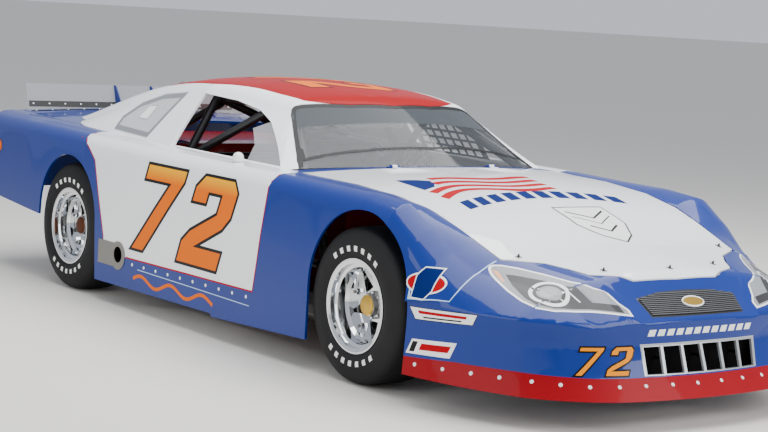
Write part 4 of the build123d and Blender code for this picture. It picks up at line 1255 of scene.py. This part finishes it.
@dataclass
class Livery:
    """Numbers, pinstripes, plain stickers, the rear lamps' prints and the hood's prints."""

    flanks: tuple[Flank, ...]
    hood: Surface
    roof: Surface
    nose: Surface
    # paths of (place along the car, height) where the paints meet, and along the skirt
    paint_stripes: tuple[tuple[Point2, ...], ...] = (
        (
            (-1280, 890), (-1198, 828), (-1140, 786), (-1076, 734), (-1008, 540), (-940, 346),
            (-940, 268),
        ),
        ((-690, 269), (-100, 277), (522, 284)),
        ((522, 287), (546, 430), (570, 579), (591, 706), (612, 834), (615, 868)),
    )
    skirt_line: tuple[Point2, ...] = ((-560, 224), (0, 219), (500, 213))
    # x, y, z of the pale line over the nose on the right side, in metres
    nose_line: tuple[Point3, ...] = (
        (1.70, -1.0, 0.4345), (1.80, -0.985, 0.450), (1.926, -0.945, 0.470), (1.926, -0.90, 0.50),
        (1.926, -0.82, 0.57), (1.926, -0.74, 0.61), (1.926, -0.69, 0.632),
    )
    stripe_width: float = 7.0
    skirt_line_width: float = 4.0
    nose_line_width: float = 6.0
    # place along the car, height and half axes of the two ellipses on the right side
    oval: tuple[float, ...] = (1786, 520, 92, 44)
    roundel: tuple[float, ...] = (-2283, 697, 44, 40)
    # (place along the car, height) outlines of the stickers on the right side
    slab: tuple[Point2, ...] = (
        (1738, 548), (1762, 586), (1834, 586), (1834, 492), (1810, 454), (1738, 454),
    )
    ticket: tuple[Point2, ...] = ((1728, 420), (2066, 434), (2036, 384), (1762, 368))
    ticket_bar: tuple[Point2, ...] = ((1775, 408), (2015, 418), (2009, 406), (1783, 396))
    ticket_line: tuple[Point2, ...] = ((1800, 386), (1990, 397), (1984, 391), (1808, 380))
    card: tuple[Point2, ...] = ((1751, 286), (1964, 300), (1936, 233), (1722, 223))
    card_bar: tuple[Point2, ...] = ((1800, 273), (1940, 282), (1926, 254), (1788, 245))
    card_block: tuple[Point2, ...] = ((1756, 277), (1782, 279), (1764, 234), (1738, 232))
    # the skirt's wavy ribbon: its ends and step along the car, height, swing, wave and width
    ribbon_ends: tuple[int, int] = (-600, 180)
    ribbon_step: int = 12
    ribbon_height: float = 174.0
    ribbon_swing: float = 21.0
    ribbon_wave: float = 48.0
    ribbon_width: float = 17.0
    # (place across the car, height) outlines of the right rear lamp
    tail_lens: tuple[Point2, ...] = ((490, 742), (800, 728), (812, 806), (520, 806))
    tail_bar: tuple[Point2, ...] = ((560, 762), (700, 757), (702, 778), (564, 781))
    # the pennant's stripes: where each starts and the first ends, how much sooner the next does,
    # the first one's foot and the pitch, width and joints of each
    stripe_starts: tuple[float, ...] = (-372.0, -418.0, -548.0, -548.0)
    stripe_end: float = 225.0
    end_shift: float = 18.0
    stripe_foot: float = -1104.0
    pennant_pitch: float = 84.0
    pennant_width: float = 42.0
    stripe_joints: int = 24
    # the pennant's wave: its crest's place and height, the run up to it, and the swell after it
    crest: float = -315.0
    crest_rise: float = 100.0
    crest_run: float = 230.0
    swell: float = 25.0
    swell_wave: float = 90.0
    pennant_field: tuple[Point2, ...] = (
        (-550, -992), (-450, -1015), (-395, -1050), (-415, -1110), (-455, -1165), (-550, -1215),
    )
    # the row of blocks: its first one's place, pitch and number, a block's width, foot and head
    # from the row and lean, and the row's crest and its fall at half its length
    block_start: float = -530.0
    block_pitch: float = 99.0
    blocks: int = 10
    block_width: float = 66.0
    block_ends: Point2 = (-8.0, 90.0)
    block_lean: float = 14.0
    row_crest: Point2 = (-20.0, -1416.0)
    row_fall: float = 92.0
    row_half: float = 500.0
    shield: tuple[Point2, ...] = (
        (-90, -1545), (210, -1545), (210, -1720), (146, -1832), (60, -1900), (-26, -1832),
        (-90, -1720),
    )
    # width and path of each chevron on the shield
    chevrons: tuple[tuple[float, tuple[Point2, ...]], ...] = (
        (11.0, ((-52, -1595), (60, -1668), (172, -1595))),
        (6.0, ((-52, -1648), (60, -1721), (172, -1648))),
        (11.0, ((-20, -1735), (60, -1788), (140, -1735))),
    )
    # the row of dashes under the upper grille: its first one's place, pitch and number, and a
    # dash's width, height and lean
    dash_start: Point2 = (-303.0, 375.0)
    dash_pitch: float = 51.0
    dashes: int = 12
    dash_size: Point2 = (36.0, 27.0)
    dash_lean: float = 6.0

    def build(self) -> None:
        """Lays every film in turn."""
        self.numbers()
        self.pinstripes()
        self.stickers()
        self.tail_lamps()
        self.hood_prints()
        self.nose_dashes()

    def side_film(
        self, flank: Flank, name: str, outlines: list[Outline], finish: Finish, **more: object
    ) -> None:
        """Lays one film on a side of the car.

        Args:
            flank: The side.
            name: The film's name without the side's.
            outlines: Its outlines in the side's drawing plane.
            finish: Its finish.
            more: Further settings of the print.
        """
        Print(
            f"{name}_{flank.name}", outlines, flank.lay, flank.origin, flank.surface, finish,
            "body", "blue_paint", **more,
        ).build()

    def hood_film(self, name: str, outlines: list[Outline], finish: Finish, **more: object) -> None:
        """Lays one film on the hood.

        Args:
            name: The film's name.
            outlines: Its outlines, as (place across the car, distance back along it).
            finish: Its finish.
            more: Further settings of the print.
        """
        Print(
            name, outlines, Lay.TOP, TOP_ORIGIN, self.hood, finish, "hood_panel", "white_paint",
            **more,
        ).build()

    def numbers(self) -> None:
        """Lays the race number on both doors, the roof and the nose."""
        for flank, start in zip(self.flanks, (-690.0, -400.0)):
            RaceNumber(
                f"door_number_{flank.name}", flank.lay, flank.origin, flank.surface, NUMBER_FILM,
                "white_paint", start=start, foot=315.0, width=400.0, height=472.0, lean=190.0,
                gap=90.0, rim=15.0,
            ).build()
        RaceNumber(
            "roof_number", Lay.TOP_PLAN, (0.0, 0.0, 1.3), self.roof, FLAT_NUMBER_FILM,
            "red_paint", start=-790.0, foot=-260.0, width=290.0, height=520.0, lean=90.0,
            gap=60.0, rim=14.0,
        ).build()
        RaceNumber(
            "nose_number", Lay.NOSE_RIGHT, (2.40, -0.50, 0.0), self.nose, AMBER_NUMBER_FILM,
            "blue_paint", start=-156.0, foot=218.0, width=116.0, height=124.0, lean=39.0,
            gap=26.0, rim=7.0,
        ).build()

    def pinstripes(self) -> None:
        """Lays the thin lines where the paints meet, along the skirts and over the nose."""
        for flank in self.flanks:
            stripes = [band(flank.shape(path), self.stripe_width) for path in self.paint_stripes]
            self.side_film(flank, "pinstripe", stripes, RED_FILM)
            skirt = band(flank.shape(self.skirt_line), self.skirt_line_width)
            self.side_film(flank, "skirt_line", [skirt], PALE_BLUE_FILM)
            path = flatten(flank.lamp_lay, LAMP_ORIGIN, flank.places(self.nose_line))
            Print(
                f"nose_line_{flank.name}", [band(path, self.nose_line_width)], flank.lamp_lay,
                LAMP_ORIGIN, self.nose, PALE_BLUE_FILM, "body", "blue_paint",
            ).build()

    def stickers(self) -> None:
        """Lays the plain shapes that fill the stickers' places on both sides, lowest first."""
        first, last = self.ribbon_ends
        ribbon = [
            (x, self.ribbon_height + self.ribbon_swing * math.sin((x - first) / self.ribbon_wave))
            for x in range(first, last + 1, self.ribbon_step)
        ]
        high = {"lift": 1.0}
        for flank in self.flanks:
            oval, roundel = (
                ellipse(flank.sign * x, *rest, count)
                for (x, *rest), count in ((self.oval, 32), (self.roundel, 28))
            )
            wavy = band(flank.shape(ribbon), self.ribbon_width)
            for name, outline, finish, more in (
                (
                    "oval_sticker", oval, RED_FILM,
                    {"rim_finish": WHITE_FILM, "border": 7.0, "lift": 0.8, "step": 10.0},
                ),
                (
                    "slab_sticker", flank.shape(self.slab), BLUE_FILM,
                    {"rim_finish": WHITE_FILM, "border": 5.0, "lift": 2.0, "step": 10.0},
                ),
                (
                    "ticket_sticker", flank.shape(self.ticket), WHITE_FILM,
                    {"rim_finish": BLACK_FILM, "border": 3.0},
                ),
                ("ticket_upper_bar", flank.shape(self.ticket_bar), RED_FILM, high),
                ("ticket_lower_bar", flank.shape(self.ticket_line), BLACK_FILM, high),
                ("card_sticker", flank.shape(self.card), WHITE_FILM, {}),
                ("card_bar", flank.shape(self.card_bar), RED_FILM, high),
                ("card_block", flank.shape(self.card_block), BLACK_FILM, high),
                ("skirt_ribbon", wavy, FLAT_NUMBER_FILM, {}),
                (
                    "tail_roundel", roundel, FLAT_NUMBER_FILM,
                    {"rim_finish": BLACK_FILM, "border": 5.0},
                ),
            ):
                self.side_film(flank, name, [outline], finish, **more)

    def tail_lamps(self) -> None:
        """Lays the printed rear lamps, a red lens with a pale bar each, on the tail."""
        rear = Surface(["tail_cover"])
        for flank in self.flanks:
            for name, outline, finish, more in (
                ("lens", self.tail_lens, RED_FILM, {"rim_finish": BLACK_FILM, "border": 6.0}),
                ("bar", self.tail_bar, WHITE_FILM, {"lift": 1.2}),
            ):
                Print(
                    f"tail_lamp_{name}_{flank.name}", [flank.shape(outline)], Lay.REAR,
                    REAR_ORIGIN, rear, finish, "body", "blue_paint", **more,
                ).build()

    def wave(self, u: float) -> float:
        """Gives the pennant's rise: up to its crest in one sweep, then a gentle swell.

        Args:
            u: Place across the car.

        Returns:
            The rise over the stripe's foot.
        """
        past = u - self.crest
        if past < 0.0:
            run = (past + self.crest_run) / self.crest_run
            return self.crest_rise * math.sin(math.pi / 2 * run)
        return self.crest_rise - self.swell + self.swell * math.cos(past / self.swell_wave)

    def hood_prints(self) -> None:
        """Lays the striped pennant, the row of blocks and the shield on the hood."""
        stripes = []
        for k, start in enumerate(self.stripe_starts):
            foot = self.stripe_foot - k * self.pennant_pitch
            length = self.stripe_end - k * self.end_shift - start
            parts = self.stripe_joints
            joints = [start + length * i / parts for i in range(parts + 1)]
            stripes.append(band([(u, foot + self.wave(u)) for u in joints], self.pennant_width))
        self.hood_film("pennant_stripes", stripes, RED_FILM)
        self.hood_film("pennant_field", [list(self.pennant_field)], BLUE_FILM)
        blocks = []
        for i in range(self.blocks):
            near = self.block_start + i * self.block_pitch
            far = near + self.block_width
            v, w = (
                self.row_crest[1] - self.row_fall * ((u - self.row_crest[0]) / self.row_half) ** 2
                for u in (near, far)
            )
            foot, head = self.block_ends
            lean = self.block_lean
            blocks.append(
                [(near, v + foot), (far, w + foot), (far + lean, w + head), (near + lean, v + head)]
            )
        self.hood_film("hood_blocks", blocks, BLUE_FILM)
        self.hood_film(
            "hood_shield", [list(self.shield)], WHITE_FILM, rim_finish=BLACK_FILM, border=8.0
        )
        chevrons = [band(list(path), width) for width, path in self.chevrons]
        self.hood_film("hood_chevrons", chevrons, BLACK_FILM, lift=1.0)

    def nose_dashes(self) -> None:
        """Lays the row of white dashes on the nose, in the place of a line of lettering."""
        dashes = []
        (start, foot), (width, height) = self.dash_start, self.dash_size
        for i in range(self.dashes):
            near = start + self.dash_pitch * i
            far = near + width
            head = foot + height
            lean = self.dash_lean
            dashes.append([(near, foot), (far, foot), (far + lean, head), (near + lean, head)])
        Print(
            "nose_dashes", dashes, Lay.FRONT, FRONT_ORIGIN, self.nose, WHITE_FILM, "body",
            "blue_paint",
        ).build()


@dataclass
class Trim:
    """Screws, pins, grille slats, window edges, sill ball, soot with painted shade and spoiler
    strips.
    """

    flanks: tuple[Flank, ...]
    hood: Surface
    nose: Surface
    # x, y, z of the lip's screws on the right side, and where its front begins, in metres
    lip_screws: tuple[Point3, ...] = (
        (1.774, -0.983, 0.182), (1.912, -0.943, 0.186), (2.037, -0.895, 0.190),
        (2.151, -0.838, 0.192), (2.252, -0.771, 0.192), (2.333, -0.686, 0.188),
        (2.402, -0.586, 0.184), (2.446, -0.466, 0.184), (2.47, -0.34, 0.184),
        (2.48, -0.205, 0.184), (2.49, -0.07, 0.184),
    )
    lip_front: float = 2.2
    # the skirt's row of screws: x and z of the first one, how both fall to the next, and number
    skirt_screw: Point2 = (0.47, 0.252)
    skirt_fall: Point2 = (0.121, 0.0012)
    skirt_screws: int = 10
    screw_radius: float = 9.0
    hood_pins: tuple[Point3, ...] = (
        (1.935, -0.600, 0.637), (2.160, -0.327, 0.608), (2.200, 0.017, 0.606),
        (2.141, 0.339, 0.611), (1.905, 0.620, 0.639),
    )
    # the upper grille's slats: number, first one's foot, pitch and depth of each
    slats: int = 12
    slat_foot: float = 455.0
    slat_pitch: float = 6.4
    slat_depth: float = 3.0
    # the grille's opening: (half width, height) at its foot and its arch, and how much the half
    # width grows and shrinks with the height there
    opening_foot: Point2 = (260.0, 448.0)
    opening_flare: float = 0.27
    opening_arch: Point2 = (278.0, 514.0)
    opening_close: float = 6.9
    grille_oval: tuple[float, ...] = (0.0, 492.0, 62.0, 19.0)
    # place, half width, foot and head of the painted shade sheet behind the lower grille, in metres
    shade_sheet: tuple[float, ...] = (2.385, 0.385, 0.196, 0.350)
    # the sheet's thickness, and the lugs that hold it: places across the car, place up it, width
    # and height of each, and how far they stop short of the bars' outside
    shade_sheet_thick: float = 0.002
    lugs: tuple[float, ...] = (-0.222, 0.0, 0.222)
    lug_z: float = 0.28
    lug_size: Point2 = (0.006, 0.012)
    lug_short: float = 0.004
    # (place along the car, place across it) round the screen's left half
    screen_half: tuple[Point2, ...] = (
        (672, 0), (650, 380), (600, 776), (545, 763), (455, 718), (356, 671), (262, 625),
        (148, 570), (122, 549), (115, 527), (119, 494), (188, 250), (214, 0),
    )
    # (place along the car, height) outlines of the quarter window's border and its blank label
    quarter: tuple[Point2, ...] = (
        (-776, 1118), (-863, 877), (-1235, 889), (-1268, 952), (-1191, 1032), (-1000, 1092),
    )
    label: tuple[Point2, ...] = ((-985, 960), (-1085, 960), (-1068, 1030), (-982, 1034))
    # middle and radius of the white ball on the right window sill, in metres
    sill_ball: tuple[float, ...] = (0.165, -0.873, 0.873, 0.027)
    # place along the car, outer and inner end, height and radius of the exhaust's lined mouth, and
    # the lining's thickness, in metres
    pipe_mouth: tuple[float, ...] = (-0.77, -0.986, -0.93, 0.272, 0.0412)
    soot_and_shade_thick: float = 0.0008
    # place of the first screw across the spoiler, their pitch in metres and their number
    blade_screw: float = -0.68
    blade_pitch: float = 0.1046
    blade_screws: int = 14
    blade_screw_height: float = 6.0
    # sides of the strip on the blade, (across, height), and of the one on the lid, (along, across)
    blade_strip: tuple[float, ...] = (-708, 708, 914, 948)
    lid_strip: tuple[float, ...] = (-2414, -2384, -708, 708)

    def build(self) -> None:
        """Builds each set of trim in turn."""
        self.screws()
        self.pins()
        self.upper_grille()
        self.lower_grille()
        self.window_edges()
        self.spoiler_strips()
        self.ball()
        self.soot_and_shade()

    def screws(self) -> None:
        """Sets the screws of the lip and the skirts."""
        size = {"radius": self.screw_radius}
        (x0, z0), (dx, dz) = self.skirt_screw, self.skirt_fall
        for flank in self.flanks:
            lip = flank.places(self.lip_screws)
            y = flank.origin[1]
            skirt = [(x0 - dx * i, y, z0 - dz * i) for i in range(self.skirt_screws)]
            for name, places, lay, surface, slot in (
                (
                    "lip_screws", [p for p in lip if p[0] < self.lip_front], flank.lay, self.nose,
                    "red_plastic",
                ),
                (
                    "lip_front_screws", [p for p in lip if p[0] >= self.lip_front], Lay.FRONT,
                    self.nose, "red_plastic",
                ),
                ("skirt_screws", skirt, flank.lay, flank.surface, "blue_paint"),
            ):
                Screws(
                    f"{name}_{flank.name}", places, lay, surface, WHITE_SCREW, "body", slot, **size
                ).build()

    def pins(self) -> None:
        """Sets the hood pins on their round plates."""
        for name, finish, size in (
            ("hood_pin_plates", BARE_STEEL, {"radius": 17.0, "height": 2.0, "sides": 20}),
            ("hood_pins", BLACK_STEEL, {"radius": 7.0, "height": 16.0}),
        ):
            Screws(
                name, list(self.hood_pins), Lay.TOP, self.hood, finish, "hood_panel", "raw_steel",
                **size,
            ).build()

    def upper_grille(self) -> None:
        """Lays slats over the upper grille, with a plain gold oval on them."""
        face = Surface(["upper_grille", "nose_right", "nose_left", "hood"])
        slats = []
        for i in range(self.slats):
            z = self.slat_foot + i * self.slat_pitch
            top = z + self.slat_depth
            flared = self.opening_foot[0] + (z - self.opening_foot[1]) * self.opening_flare
            arched = self.opening_arch[0] - (top - self.opening_arch[1]) * self.opening_close
            half = min(flared, arched)
            slats.append(rectangle(-half, half, z, top))
        Print(
            "upper_grille_slats", slats, Lay.FRONT, FRONT_ORIGIN, face, GREY_PLASTIC, "body",
            "dark_mesh", lift=2.5, thick=3.0,
        ).build()
        Print(
            "grille_oval", [ellipse(*self.grille_oval)], Lay.FRONT, FRONT_ORIGIN, face, GOLD_CAP,
            "body", "dark_mesh", rim_finish=WHITE_FILM, border=4.0, lift=5.5, thick=4.0,
        ).build()

    def lower_grille(self) -> None:
        """Stands the dark painted shade sheet behind the lower grille, held to the bars by lugs."""
        x, half, low, high = self.shade_sheet
        bm = bmesh.new()
        add_box(bm, (self.shade_sheet_thick, 2 * half, high - low), (x, 0.0, (low + high) / 2))
        bars = Surface(["lower_grille"])
        for y in self.lugs:
            front = bars.hit(Vector((x, y, self.lug_z)), Vector((-1, 0, 0)))[0].x
            reach = front - self.lug_short
            add_box(bm, (reach - x, *self.lug_size), ((x + reach) / 2, y, self.lug_z))
        new_piece("lower_grille_shade", bm, PAINTED_SHADE_SHEET, "body", "dark_mesh")

    def window_edges(self) -> None:
        """Lays the edges of the screen and the quarter windows, and a blank label."""
        outline = list(self.screen_half) + [(x, -y) for x, y in self.screen_half[-2:0:-1]]
        Print(
            "screen_edge", [outline], Lay.TOP_PLAN, (0.0, 0.0, 1.2), Surface(["windshield"]),
            BLACK_FILM, "body", "clear_pane", rim_finish=BLACK_FILM, border=20.0, rim_only=True,
            step=40.0,
        ).build()
        panes = Surface(["side_windows"])
        for flank in self.flanks:
            for name, shape, finish, rim_finish, more in (
                (
                    "quarter_border", self.quarter, PANE_FILM, PANE_FILM,
                    {"border": 22.0, "rim_only": True, "step": 12.0},
                ),
                ("quarter_label", self.label, WHITE_FILM, GREY_FILM, {"border": 3.0, "step": 15.0}),
            ):
                Print(
                    f"{name}_{flank.name}", [flank.shape(shape)], flank.lay, flank.origin, panes,
                    finish, "body", "clear_pane", rim_finish=rim_finish, lift=0.8, **more,
                ).build()

    def spoiler_strips(self) -> None:
        """Lays the strips along the foot of the spoiler's blade, and their screws."""
        blade, lid = Surface(["spoiler_blade"]), Surface(["decklid"])
        for name, outline, lay, origin, surface in (
            ("spoiler_strip", self.blade_strip, Lay.FRONT, (-2.3, 0.0, 0.0), blade),
            ("spoiler_flange", self.lid_strip, Lay.TOP_PLAN, TOP_ORIGIN, lid),
        ):
            Print(
                name, [rectangle(*outline)], lay, origin, surface, BLACK_PLASTIC, "deck",
                "black_aluminium", thick=1.5, lift=1.6, step=120.0,
            ).build()
        for name, x, z, lay, surface in (
            ("blade_screws", -2.4, 0.932, Lay.FRONT, blade),
            ("flange_screws", -2.398, 0.93, Lay.TOP, lid),
        ):
            row = range(self.blade_screws)
            places = [(x, self.blade_screw + self.blade_pitch * i, z) for i in row]
            Screws(
                name, places, lay, surface, WHITE_SCREW, "deck", "clear_pane",
                height=self.blade_screw_height,
            ).build()

    def ball(self) -> None:
        """Stands the white ball on the right window sill."""
        *middle, radius = self.sill_ball
        bm = bmesh.new()
        bmesh.ops.create_uvsphere(bm, u_segments=24, v_segments=16, radius=radius)
        bmesh.ops.translate(bm, vec=middle, verts=bm.verts[:])
        new_piece("sill_ball", bm, WHITE_SCREW, "body", "white_paint")

    def soot_and_shade(self) -> None:
        """Lines the mouth of the exhaust pipe with soot, which also paints the shade inside it."""
        x, mouth, bottom, z, radius = self.pipe_mouth
        bm = bmesh.new()
        bmesh.ops.create_cone(
            bm, cap_ends=True, segments=48, radius1=radius, radius2=radius,
            depth=abs(mouth - bottom),
        )
        lid = [f for f in bm.faces if f.normal.z > 0.9]
        bmesh.ops.delete(bm, geom=lid, context="FACES_ONLY")
        bmesh.ops.solidify(bm, geom=bm.faces[:], thickness=self.soot_and_shade_thick)
        turn = Matrix.Rotation(math.pi / 2, 4, "X")
        bmesh.ops.transform(bm, matrix=turn, verts=bm.verts[:])
        bmesh.ops.translate(bm, vec=(x, (mouth + bottom) / 2, z), verts=bm.verts[:])
        new_piece("outlet_soot_and_shade", bm, SOOT_AND_SHADE, "body", "raw_steel")


@dataclass
class Studio:
    """Plain pale floor, soft lights and the photo's camera."""

    # the camera's place in metres, its heading, tilt and roll in degrees, its lens and its
    # sensor's width in millimetres, and how far it sees in metres
    place: Point3 = (7.7595, -5.676, 1.644)
    heading: float = 143.13
    tilt: float = -6.428
    roll: float = 3.514
    lens: float = 87.92
    sensor: float = 36.0
    sight: float = 200.0
    # half the floor's width in metres, and the colour and strength of the light all round
    floor_half: float = 150.0
    sky: Colour = (0.86, 0.90, 1.0, 1.0)
    sky_strength: float = 0.75
    # name, place, aim, size and power of each light
    lights: tuple[tuple[str, Point3, Point3, float, float], ...] = (
        ("overhead", (0.5, 0.5, 6.0), (0.3, 0.0, 0.5), 7.0, 780.0),
        ("front_soft", (7.0, 2.5, 3.5), (1.2, 0.0, 0.6), 4.0, 320.0),
        ("side_fill", (1.5, -8.0, 2.6), (0.0, 0.0, 0.5), 5.0, 240.0),
    )

    def build(self) -> None:
        """Builds the floor, the lights and the camera."""
        scene = bpy.context.scene
        bm = bmesh.new()
        bmesh.ops.create_grid(bm, x_segments=1, y_segments=1, size=self.floor_half)
        mesh = bpy.data.meshes.new("floor")
        bm.to_mesh(mesh)
        bm.free()
        floor = bpy.data.objects.new("floor", mesh)
        mesh.materials.append(FLOOR_COAT.build())
        scene.collection.objects.link(floor)
        for name, place, aim, size, power in self.lights:
            lamp = bpy.data.lights.new(name, "AREA")
            lamp.size = size
            lamp.energy = power
            light = bpy.data.objects.new(name, lamp)
            light.location = place
            look = Vector(aim) - Vector(place)
            light.rotation_euler = look.to_track_quat("-Z", "Y").to_euler()
            scene.collection.objects.link(light)
        world = bpy.data.worlds.new("studio")
        world.use_nodes = True
        background = world.node_tree.nodes["Background"]
        background.inputs["Color"].default_value = self.sky
        background.inputs["Strength"].default_value = self.sky_strength
        scene.world = world
        self.camera(scene)

    def camera(self, scene: bpy.types.Scene) -> None:
        """Stands the camera as the photo's was.

        Args:
            scene: The scene that gets it.
        """
        cy, sy = math.cos(math.radians(self.heading)), math.sin(math.radians(self.heading))
        cp, sp = math.cos(math.radians(self.tilt)), math.sin(math.radians(self.tilt))
        look = Vector((cy * cp, sy * cp, sp))
        right = Vector((sy, -cy, 0.0))
        up = right.cross(look)
        c, s = math.cos(math.radians(self.roll)), math.sin(math.radians(self.roll))
        x_axis = right * c + up * s
        y_axis = up * c - right * s
        data = bpy.data.cameras.new("camera")
        data.lens = self.lens
        data.sensor_width = self.sensor
        data.clip_end = self.sight
        camera = bpy.data.objects.new("camera", data)
        turn = Matrix((x_axis, y_axis, -look)).transposed().to_4x4()
        camera.matrix_world = Matrix.Translation(Vector(self.place)) @ turn
        scene.collection.objects.link(camera)
        scene.camera = camera


def side_nodes(side: str) -> list[str]:
    """Gives the nodes that make one side of the body."""
    own = [f"{part}_{side}" for part in ("door", "fender", "quarter", "nose")]
    return own + ["rocker_skirts", "tail_cover"]


def main() -> None:
    """Builds the car's visual model and its studio."""
    logging.basicConfig(level=logging.INFO, format="%(name)s %(message)s")
    flanks = (
        Flank("right", 1, Lay.RIGHT_SIDE, Lay.LAMP_RIGHT, Surface(side_nodes("right"))),
        Flank("left", -1, Lay.LEFT_SIDE, Lay.LAMP_LEFT, Surface(side_nodes("left"))),
    )
    hood = Surface(["hood"])
    roof = Surface(["roof", "sail_panels"])
    nose = Surface(
        ["nose_right", "nose_left", "headlights", "air_dam_strip", "fender_right", "fender_left"]
    )
    Panels(
        {
            "hood": WHITE_PAINT, "cowl": BLUE_PAINT, "fender_right": BLUE_PAINT,
            "fender_left": BLUE_PAINT, "air_dam_strip": STRIP_PLASTIC, "headlights": BLUE_PAINT,
            "nose_right": BLUE_PAINT, "nose_left": BLUE_PAINT, "upper_grille": BLACK_PLASTIC,
            "lower_grille": SILVER_PLASTIC, "door_right": WHITE_PAINT, "door_left": WHITE_PAINT,
            "rocker_skirts": BLUE_PAINT, "decklid": BLUE_PAINT, "deck_strip": BLUE_PAINT,
            "quarter_right": BLUE_PAINT, "quarter_left": BLUE_PAINT, "tail_cover": BLUE_PAINT,
            "roof": ROOF_PAINT, "sail_panels": WHITE_PAINT, "windshield": CLEAR_SCREEN,
            "side_windows": SIDE_PANES, "rear_window": CLEAR_WINDOW, "spoiler_blade": CLEAR_WINDOW,
        }
    ).build()
    Plain(
        {
            "spoiler_braces": BLUE_PAINT, "frame": BLACK_STEEL, "roll_cage": BLACK_STEEL,
            "interior_panels": RED_SHEET, "seat": BLACK_PLASTIC, "steering_wheel": PADDED_GRIP,
            "dashboard": BLACK_PLASTIC, "window_net": WEBBING, "inside_mirror": PLATED_STEEL,
            "engine": CAST_IRON, "driveline": BARE_STEEL, "radiator": SHEET_ALUMINIUM,
            "fuel_cell": BLACK_PLASTIC, "knuckle_right": BARE_STEEL, "knuckle_left": BARE_STEEL,
            "front_suspension": BLACK_STEEL, "steering_rack": BARE_STEEL,
            "rack_housing": SHEET_ALUMINIUM, "rear_axle": BLACK_STEEL,
            "rear_suspension": BLACK_STEEL, "exhaust": DULL_ALUMINIUM,
            **{"rim_" + place: PLATED_STEEL for place, _, _ in WHEELS},
            **{"hub_" + place: BARE_STEEL for place, _, _ in WHEELS},
        }
    ).build()
    for place, x, side in WHEELS:
        Wheel(place, x, side, GOLD_CAP if place.startswith("front") else COPPER_CAP).build()
    Lamps(flanks, nose).build()
    Livery(flanks, hood, roof, nose).build()
    Trim(flanks, hood, nose).build()
    SeatPads().build()
    Studio().build()


if __name__ == "__main__":
    main()
